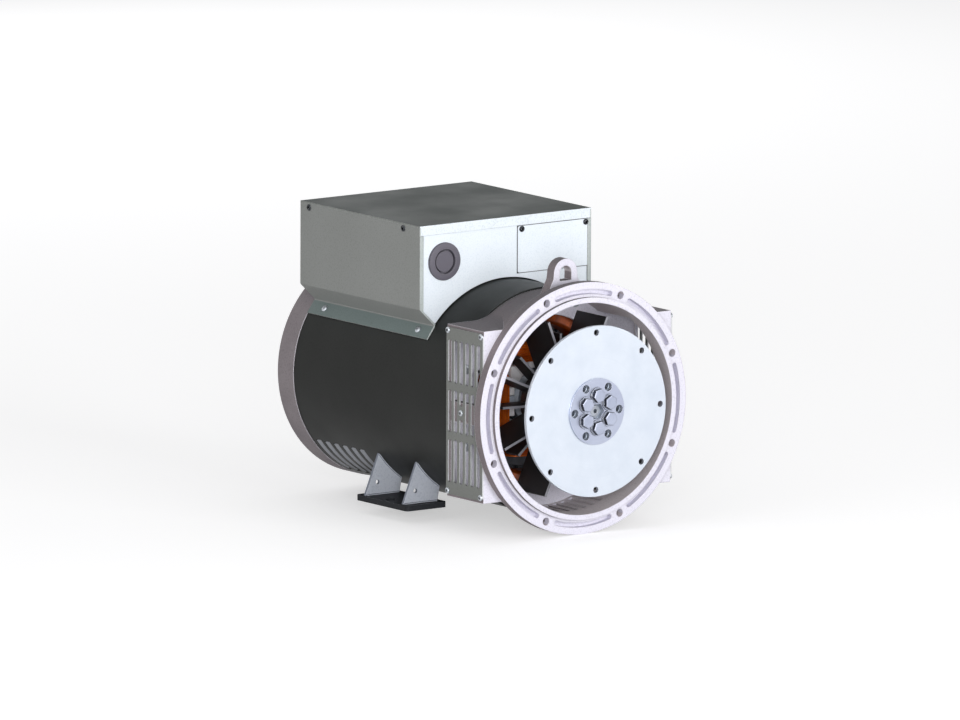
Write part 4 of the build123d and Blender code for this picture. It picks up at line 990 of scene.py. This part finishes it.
# The last colour is painted shade on the flanks of the bolt heads
bolt_steel = plated_steel("high_tensile_bolt_steel", "#aab0c2", "#969cae", 0.42, 1.6, "#34363e")
finish(turned_shaft_steel, "shaft", "coupling_hub")
finish(disc_steel, "drive_disc")
finish(clamp_steel, "clamp_ring")
clamp_face_y = -32.6
hub_bolts, hub_bolt_circle = 6, 23.0
hub_bolt_flats, hub_bolt_height, hub_bolt_washer = 18, 7.5, 1.4
bm = bmesh.new()
for k in range(hub_bolts):
    a = math.pi / hub_bolts * (2 * k + 1)
    spot = (hub_bolt_circle * math.cos(a), clamp_face_y, hub_bolt_circle * math.sin(a))
    where = facing(spot, (0, -1, 0), 0.7 * k)
    hex_bolt(bm, where, hub_bolt_flats, hub_bolt_height, hub_bolt_washer)
settle("hub_hex_bolts", bm, bolt_steel, "rotor", "zinc_steel", "hub_bolts", crease=18)

# ---------------------------------------------------------------------------
# Fan: one moulding of black glass-filled nylon, keyed to the shaft, with eight deep blades and
# eight short vanes. The front edges of the blades are painted paler than their sides, as painted
# light.
# The last colour is painted light on the faces toward the drive end
fan_black = moulded("fan_glass_filled_nylon", "#151314", "#1b191b", 0.5, 1.6, "#8f8f96")
finish(fan_black, "fan")
finish(turned_shaft_steel, "fan_key")

# ---------------------------------------------------------------------------
# Rotor: four laminated poles, each in a coil of enamelled copper wire. Moulded blocks stand
# between the coil heads and the shaft.
rotor_steel = laminated_steel("rotor_steel_stack", "#85888e", "#5c5f66")
finish(rotor_steel, "rotor_core")
coil_foot, coil_thick = 54.3, 25.0
pole_half, coil_half = 29.0, 52.0
coil_mid_y, coil_half_length = 235.0, 136.0
wire = 2.3
corner = 3.0
bend_x = pole_half - corner
bend_y = coil_half_length - (coil_half - pole_half) - corner


def pole_frame(k):
    """Matrix of a pole: local X runs round the rotor, Y along the shaft and Z outwards."""
    a = math.radians(90 * k)
    cols = ((-math.sin(a), 0, math.cos(a)), (0, 1, 0), (math.cos(a), 0, math.sin(a)))
    turn = Matrix(cols).transposed().to_4x4()
    return Matrix.Translation((0, coil_mid_y / 1000, 0)) @ turn


def edges_among(found, verts):
    """The edges an operator returned that run between these vertices."""
    return [g for g in found if isinstance(g, bmesh.types.BMEdge) and set(g.verts) <= set(verts)]


def sweep_racetrack(bm, edges):
    """Carries edges at the start of the right leg round the whole coil, in millimetres."""
    pi_half = math.pi / 2
    for run, centre in (
        ((0, 2 * bend_y, 0), (bend_x, bend_y, 0)),
        ((-2 * bend_x, 0, 0), (-bend_x, bend_y, 0)),
        ((0, -2 * bend_y, 0), (-bend_x, -bend_y, 0)),
        ((2 * bend_x, 0, 0), (bend_x, -bend_y, 0)),
    ):
        grown = bmesh.ops.extrude_edge_only(bm, edges=edges)["geom"]
        ends = verts_in(grown)
        bmesh.ops.translate(bm, verts=ends, vec=run)
        edges = edges_among(grown, ends)
        turned = bmesh.ops.spin(
            bm, geom=edges + ends, cent=centre, axis=(0, 0, 1), angle=pi_half, steps=7
        )["geom_last"]
        edges = [g for g in turned if isinstance(g, bmesh.types.BMEdge)]


across_wires = int((coil_half - pole_half) / wire)
up_wires = int(coil_thick / wire)
coils = bmesh.new()
for k in range(4):
    bm = bmesh.new()
    starts = []
    for i in range(across_wires):
        for j in range(up_wires):
            if i in (0, across_wires - 1) or j in (0, up_wires - 1):
                spot = Matrix.Translation(
                    (
                        pole_half + (i + 0.5) * (coil_half - pole_half) / across_wires,
                        -bend_y,
                        coil_foot + (j + 0.5) * coil_thick / up_wires,
                    )
                )
                ring = bmesh.ops.create_circle(
                    bm,
                    segments=6,
                    radius=wire / 2,
                    matrix=spot @ Matrix.Rotation(math.pi / 2, 4, "X"),
                )["verts"]
                starts += list({e for v in ring for e in v.link_edges})
    sweep_racetrack(bm, starts)
    stamp(coils, bm, pole_frame(k) @ Matrix.Scale(0.001, 4))
field_copper = varnished_copper("field_coil_copper", "#f07818", "#b44e0c", 1.6)
settle("field_coil_wires", coils, field_copper, "rotor", "copper_winding", "field_coils")

# Under each coil head stand a grey block and a white one on each side of it. A white block fills
# the corner between two heads, and one dark bolt beside each pole clamps the stack
corner_resin = moulded("white_corner_block_resin", "#f3f1f4", "#e6e4e9", 0.5, 1.4)
spacer_resin = moulded("grey_spacer_block_resin", "#a3abb8", "#949ca9", 0.5, 1.4)
corner_blocks = bmesh.new()
spacer_blocks = bmesh.new()
stack_bolts = bmesh.new()
block_foot, block_top, block_long, block_mid_y = 44.5, 53.8, 33.0, 117.5
corner_outline = ((-6, 45), (6, 45), (14, 57), (0, 70), (-14, 57))
corner_long, corner_start = 30.0, 103.0
stack_bolt_circle, stack_bolt_turn, stack_end_y = 51.0, 27.0, 135.0
for k in range(4):
    for end in (-1, 1):
        for x, wide, group in (
            (0, 16, spacer_blocks),
            (-14.5, 11, corner_blocks),
            (14.5, 11, corner_blocks),
        ):
            bm = bmesh.new()
            bmesh.ops.create_cube(bm, size=1.0)
            bmesh.ops.scale(bm, vec=(wide, block_long, block_top - block_foot), verts=bm.verts)
            round_off(bm, bm.edges[:], 1.2)
            spot = Matrix.Translation((x, end * block_mid_y, (block_foot + block_top) / 2))
            stamp(group, bm, pole_frame(k) @ Matrix.Scale(0.001, 4) @ spot)
        bm = bmesh.new()
        bm.faces.new([bm.verts.new((x, 0, z)) for x, z in corner_outline])
        grown = bmesh.ops.extrude_face_region(bm, geom=bm.faces[:])["geom"]
        far = verts_in(grown)
        bmesh.ops.translate(bm, verts=far, vec=(0, corner_long, 0))
        round_off(bm, bm.edges[:], 1.2)
        start = corner_start if end > 0 else -corner_start - corner_long
        spot = Matrix.Translation((0, start, 0))
        stamp(corner_blocks, bm, pole_frame(k + 0.5) @ Matrix.Scale(0.001, 4) @ spot)
    a = math.radians(90 * k + stack_bolt_turn)
    spot = (stack_bolt_circle * math.cos(a), stack_end_y, stack_bolt_circle * math.sin(a))
    hex_bolt(stack_bolts, facing(spot, (0, -1, 0), 0.3), 11, 7)
settle("coil_corner_blocks", corner_blocks, corner_resin, "rotor", "board_moulding")
settle("coil_spacer_blocks", spacer_blocks, spacer_resin, "rotor", "board_moulding")
black_oxide = plated_steel("black_oxide_steel", "#3a3c40", "#2b2d30", 0.4)
settle("rotor_stack_bolts", stack_bolts, black_oxide, "rotor", "black_screw", crease=18)

# ---------------------------------------------------------------------------
# Exciter and rectifier: the small machine at the rear that feeds the rotor. Its field stands on
# four posts, and the diodes turn with the shaft on an aluminium plate.
finish(electrical_steel, "exciter_field_core", "exciter_armature_core")
finish(stator_copper, "exciter_field_coils", "exciter_armature_winding")
finish(zinc_plate, "exciter_posts")
rectifier_aluminium = plated_steel("milled_rectifier_aluminium", "#c3c6cc", "#a6aab1", 0.3)
finish(rectifier_aluminium, "rectifier_plate")
diode_metal = plated_steel("nickel_diode_cases", "#a8abb1", "#888c93", 0.25)
finish(diode_metal, "rectifier_diodes")
varistor_epoxy = moulded("varistor_epoxy", "#31548f", "#27447a", 0.4, 1.2)
finish(varistor_epoxy, "surge_suppressor")

# ---------------------------------------------------------------------------
# Terminal box: folded 2 mm steel sheets, powder coated. The sides end in strips that are screwed
# to the frame, and the lid, end panels and access plate close it.
# One grey paint: the paler front coat, the front colours and the dark top colours are painted light
# and painted shade
box_side_coat = powder_coat(
    "box_side_powder_coat", "#909290", "#e4e5e3", "#b5b8b8", 0.5, "#c6cccb", "#768281"
)
box_front_lit_coat = powder_coat(
    "box_front_lit_powder_coat", "#d9dfe6", "#eef1f4", "#f6f8fa", 0.45, "#e6edf4", "#8a908f"
)
box_lid_coat = powder_coat(
    "box_lid_powder_coat", "#8c8f8c", "#e0e3e1", "#b9bdbc", 0.6, "#e6edf4", "#363c3b"
)
finish(box_side_coat, "terminal_box_left_side", "terminal_box_right_side", "terminal_rail")
finish(box_front_lit_coat, "terminal_box_front_panel", "terminal_box_rear_panel", "access_plate")
finish(box_lid_coat, "terminal_box_lid")
finish(box_side_coat, "regulator_bracket")
box_half, lid_screw_z = 148.5, 238.7
bm = bmesh.new()
for hand in (-1, 1):
    for y in (224, 449):
        spot = (hand * box_half, y, lid_screw_z)
        cross_screw(bm, facing(spot, (hand, 0, 0), 0.02 * y), 4.6, 2.0)
settle("lid_pan_screws", bm, black_oxide, "stator", "black_screw", "lid_screws")
strip_seat = 160.55
bm = bmesh.new()
for angle in (143.8, 36.2):
    a = math.radians(angle)
    out = (math.cos(a), 0, math.sin(a))
    for y in (214, 437):
        spot = (strip_seat * out[0], y, strip_seat * out[2])
        cross_screw(bm, facing(spot, out, 0.05 * y), 5.0, 2.2)
settle("strip_pan_screws", bm, zinc_plate, "stator", "zinc_steel", "strip_screws")
plate_face_y, plate_screw_z = 185.3, 226.7
bm = bmesh.new()
for x in (28, 139):
    cross_screw(bm, facing((x, plate_face_y, plate_screw_z), (0, -1, 0), 0.3 * x), 4.2, 2.2)
settle("access_pan_screws", bm, black_oxide, "stator", "black_screw", "access_screws")

# Each side sheet ends in a narrow return that laps the front panel, and a rubber cord seals the
# access plate all round. The cord's dark rubber is also painted shade, standing in for the shadow
# line round the plate.
return_front, return_back = 184.6, 186.4
return_outline = (
    (148.3, 231.6),
    (148.3, 127.6),
    (122.7, 103.2),
    (121.0, 105.0),
    (142.0, 125.0),
    (142.0, 231.6),
)
bm = bmesh.new()
for hand in (-1, 1):
    strip = bmesh.new()
    strip.faces.new([strip.verts.new((hand * x, return_front, z)) for x, z in return_outline])
    grown = bmesh.ops.extrude_face_region(strip, geom=strip.faces[:])["geom"]
    back = verts_in(grown)
    bmesh.ops.translate(strip, verts=back, vec=(0, return_back - return_front, 0))
    round_off(strip, strip.edges[:], 0.3)
    stamp(bm, strip, Matrix.Scale(0.001, 4))
# The last two colours are painted light on faces toward the drive end and painted shade on tops
return_coat = powder_coat(
    "return_powder_coat", "#868886", "#e4e5e3", "#b5b8b8", 0.5, "#b4bbba", "#5f6a69"
)
settle("box_front_returns", bm, return_coat, "stator", "box_side_paint")
# Dark rubber: the seal's own colour, and painted shade for the shadow line round the access plate
seal_shadow_rubber = moulded("access_seal_shadow_rubber", "#2c2c30", "#242428", 0.6, 1.2)
bm = bmesh.new()
plate_left, plate_right, plate_low, plate_high = 21.5, 145.0, 165.0, 231.0
plate_wide, plate_tall = plate_right - plate_left, plate_high - plate_low
panel_face_y, seal_lap, seal_height = 186.5, 1.8, 0.8
middle = ((plate_left + plate_right) / 2, panel_face_y, (plate_low + plate_high) / 2)
bmesh.ops.create_grid(bm, x_segments=1, y_segments=1, size=0.5)
bmesh.ops.scale(bm, vec=(plate_wide + seal_lap, plate_tall + seal_lap, 1), verts=bm.verts)
outline = bm.edges[:]
bmesh.ops.delete(bm, geom=bm.faces[:], context="FACES_ONLY")
grown = bmesh.ops.extrude_edge_only(bm, edges=outline)["geom"]
outer = verts_in(grown)
bmesh.ops.translate(bm, verts=outer, vec=(0, 0, seal_height))
inset = bmesh.ops.extrude_edge_only(bm, edges=edges_among(grown, outer))["geom"]
inner = verts_in(inset)
bmesh.ops.scale(bm, vec=(0.97, 0.95, 1), verts=inner)
sunk = bmesh.ops.extrude_edge_only(bm, edges=edges_among(inset, inner))["geom"]
deep = verts_in(sunk)
bmesh.ops.translate(bm, verts=deep, vec=(0, 0, -seal_height))
bmesh.ops.bridge_loops(bm, edges=outline + edges_among(sunk, deep))
seal = bmesh.new()
stamp(seal, bm, facing(middle, (0, -1, 0)) @ Matrix.Scale(0.001, 4))
settle("access_plate_shadow_seal", seal, seal_shadow_rubber, "stator", "plug_rubber")

# Rubber blanking plug in the cable hole of the front panel
plug_rubber = moulded("nitrile_plug_rubber", "#5c5963", "#514e57", 0.6, 1.5)
plug_outline = (
    (0, 183.6),
    (14.4, 183.6),
    (15.2, 184.4),
    (15.2, 188.0),
    (17.5, 188.0),
    (17.5, 182.7),
    (18.2, 182.0),
    (24.9, 182.0),
    (26.2, 182.6),
    (26.85, 183.9),
    (26.85, 186.5),
    (22.0, 186.5),
    (22.0, 192.5),
    (0, 192.5),
)
bm = bmesh.new()
plug_x, plug_z = -106.0, 193.0
points = [bm.verts.new(((plug_x + r) / 1000, y / 1000, plug_z / 1000)) for r, y in plug_outline]
profile = [bm.edges.new(pair) for pair in zip(points, points[1:])]
bmesh.ops.spin(
    bm,
    geom=points + profile,
    cent=(plug_x / 1000, 0, plug_z / 1000),
    axis=(0, 1, 0),
    angle=2 * math.pi,
    steps=56,
    use_merge=True,
)
settle("blanking_plug", bm, plug_rubber, "stator", "plug_rubber", "cable_entry_plug")

# ---------------------------------------------------------------------------
# Inside the box: the moulded terminal board with brass studs, the leads from the windings, and
# the potted voltage regulator with its trimmer.
board_moulding = moulded("phenolic_terminal_board", "#6f3122", "#5c271b", 0.42, 1.4)
terminal_brass = plated_steel("plated_terminal_brass", "#c9a55c", "#a58344", 0.26)
lead_insulation = moulded("lead_insulation", "#2a2a2c", "#222224", 0.5, 1.2)
regulator_resin = moulded("regulator_potting_resin", "#22252a", "#1b1e22", 0.35, 1.2)
trimmer_nylon = moulded("trimmer_nylon", "#e8e6df", "#d6d3c8", 0.45, 1.0)
finish(board_moulding, "terminal_board")
finish(terminal_brass, "terminal_studs")
finish(lead_insulation, "phase_leads")
finish(regulator_resin, "voltage_regulator")
finish(trimmer_nylon, "voltage_trimmer")

# ---------------------------------------------------------------------------
# Feet: steel gusset plates, flame cut and welded to the frame and to a flat foot on each side.
# The gussets and their welds are grey, and the flat feet are nearly black.
# The last two colours of each coat are painted light on faces toward the drive end and painted
# shade on tops
foot_coat = powder_coat(
    "foot_powder_coat", "#858a96", "#dfe1e6", "#b4b9c0", 0.5, "#cdd2dc", "#6d727c"
)
foot_plate_coat = powder_coat(
    "foot_plate_powder_coat", "#26282b", "#dadbdd", "#7e8287", 0.5, "#303236", "#26282b"
)
finish(foot_coat, "left_foot_gussets", "right_foot_gussets")
finish(foot_plate_coat, "left_foot_plate", "right_foot_plate")


def weld_bead(target, path, width):
    """Lays a rippled fillet of weld along a path. Sizes are in millimetres."""
    bm = bmesh.new()
    last = None
    for i, spot in enumerate(path):
        ahead = path[min(i + 1, len(path) - 1)] - path[max(i - 1, 0)]
        where = Matrix.Translation(spot) @ ahead.to_track_quat("Z", "Y").to_matrix().to_4x4()
        swell = width / 2 * (1.0 if i % 2 else 0.86)
        ring = bmesh.ops.create_circle(bm, segments=10, radius=swell, matrix=where)["verts"]
        loop = list({e for v in ring for e in v.link_edges})
        if last:
            bmesh.ops.bridge_loops(bm, edges=last + loop)
        else:
            bmesh.ops.contextual_create(bm, geom=loop)
        last = loop
    bmesh.ops.contextual_create(bm, geom=last)
    stamp(target, bm, Matrix.Scale(0.001, 4))


frame_outer, foot_top_z, foot_start_x = 158.5, -152.0, 93.0
bead_wide, ripple, ripples = 3.4, 1.3, 43
arc_start, arc_sweep = math.radians(-37.0), math.radians(-18.8)
bm = bmesh.new()
for hand in (-1, 1):
    for y in (219, 223, 309, 313):
        arc = []
        for i in range(ripples):
            a = arc_start + arc_sweep * i / (ripples - 1)
            arc.append(Vector((hand * frame_outer * math.cos(a), y, frame_outer * math.sin(a))))
        weld_bead(bm, arc, bead_wide)
        run = [Vector((hand * (foot_start_x + ripple * i), y, foot_top_z)) for i in range(44)]
        weld_bead(bm, run, bead_wide)
settle("foot_weld_beads", bm, foot_coat, "stator", "foot_paint")
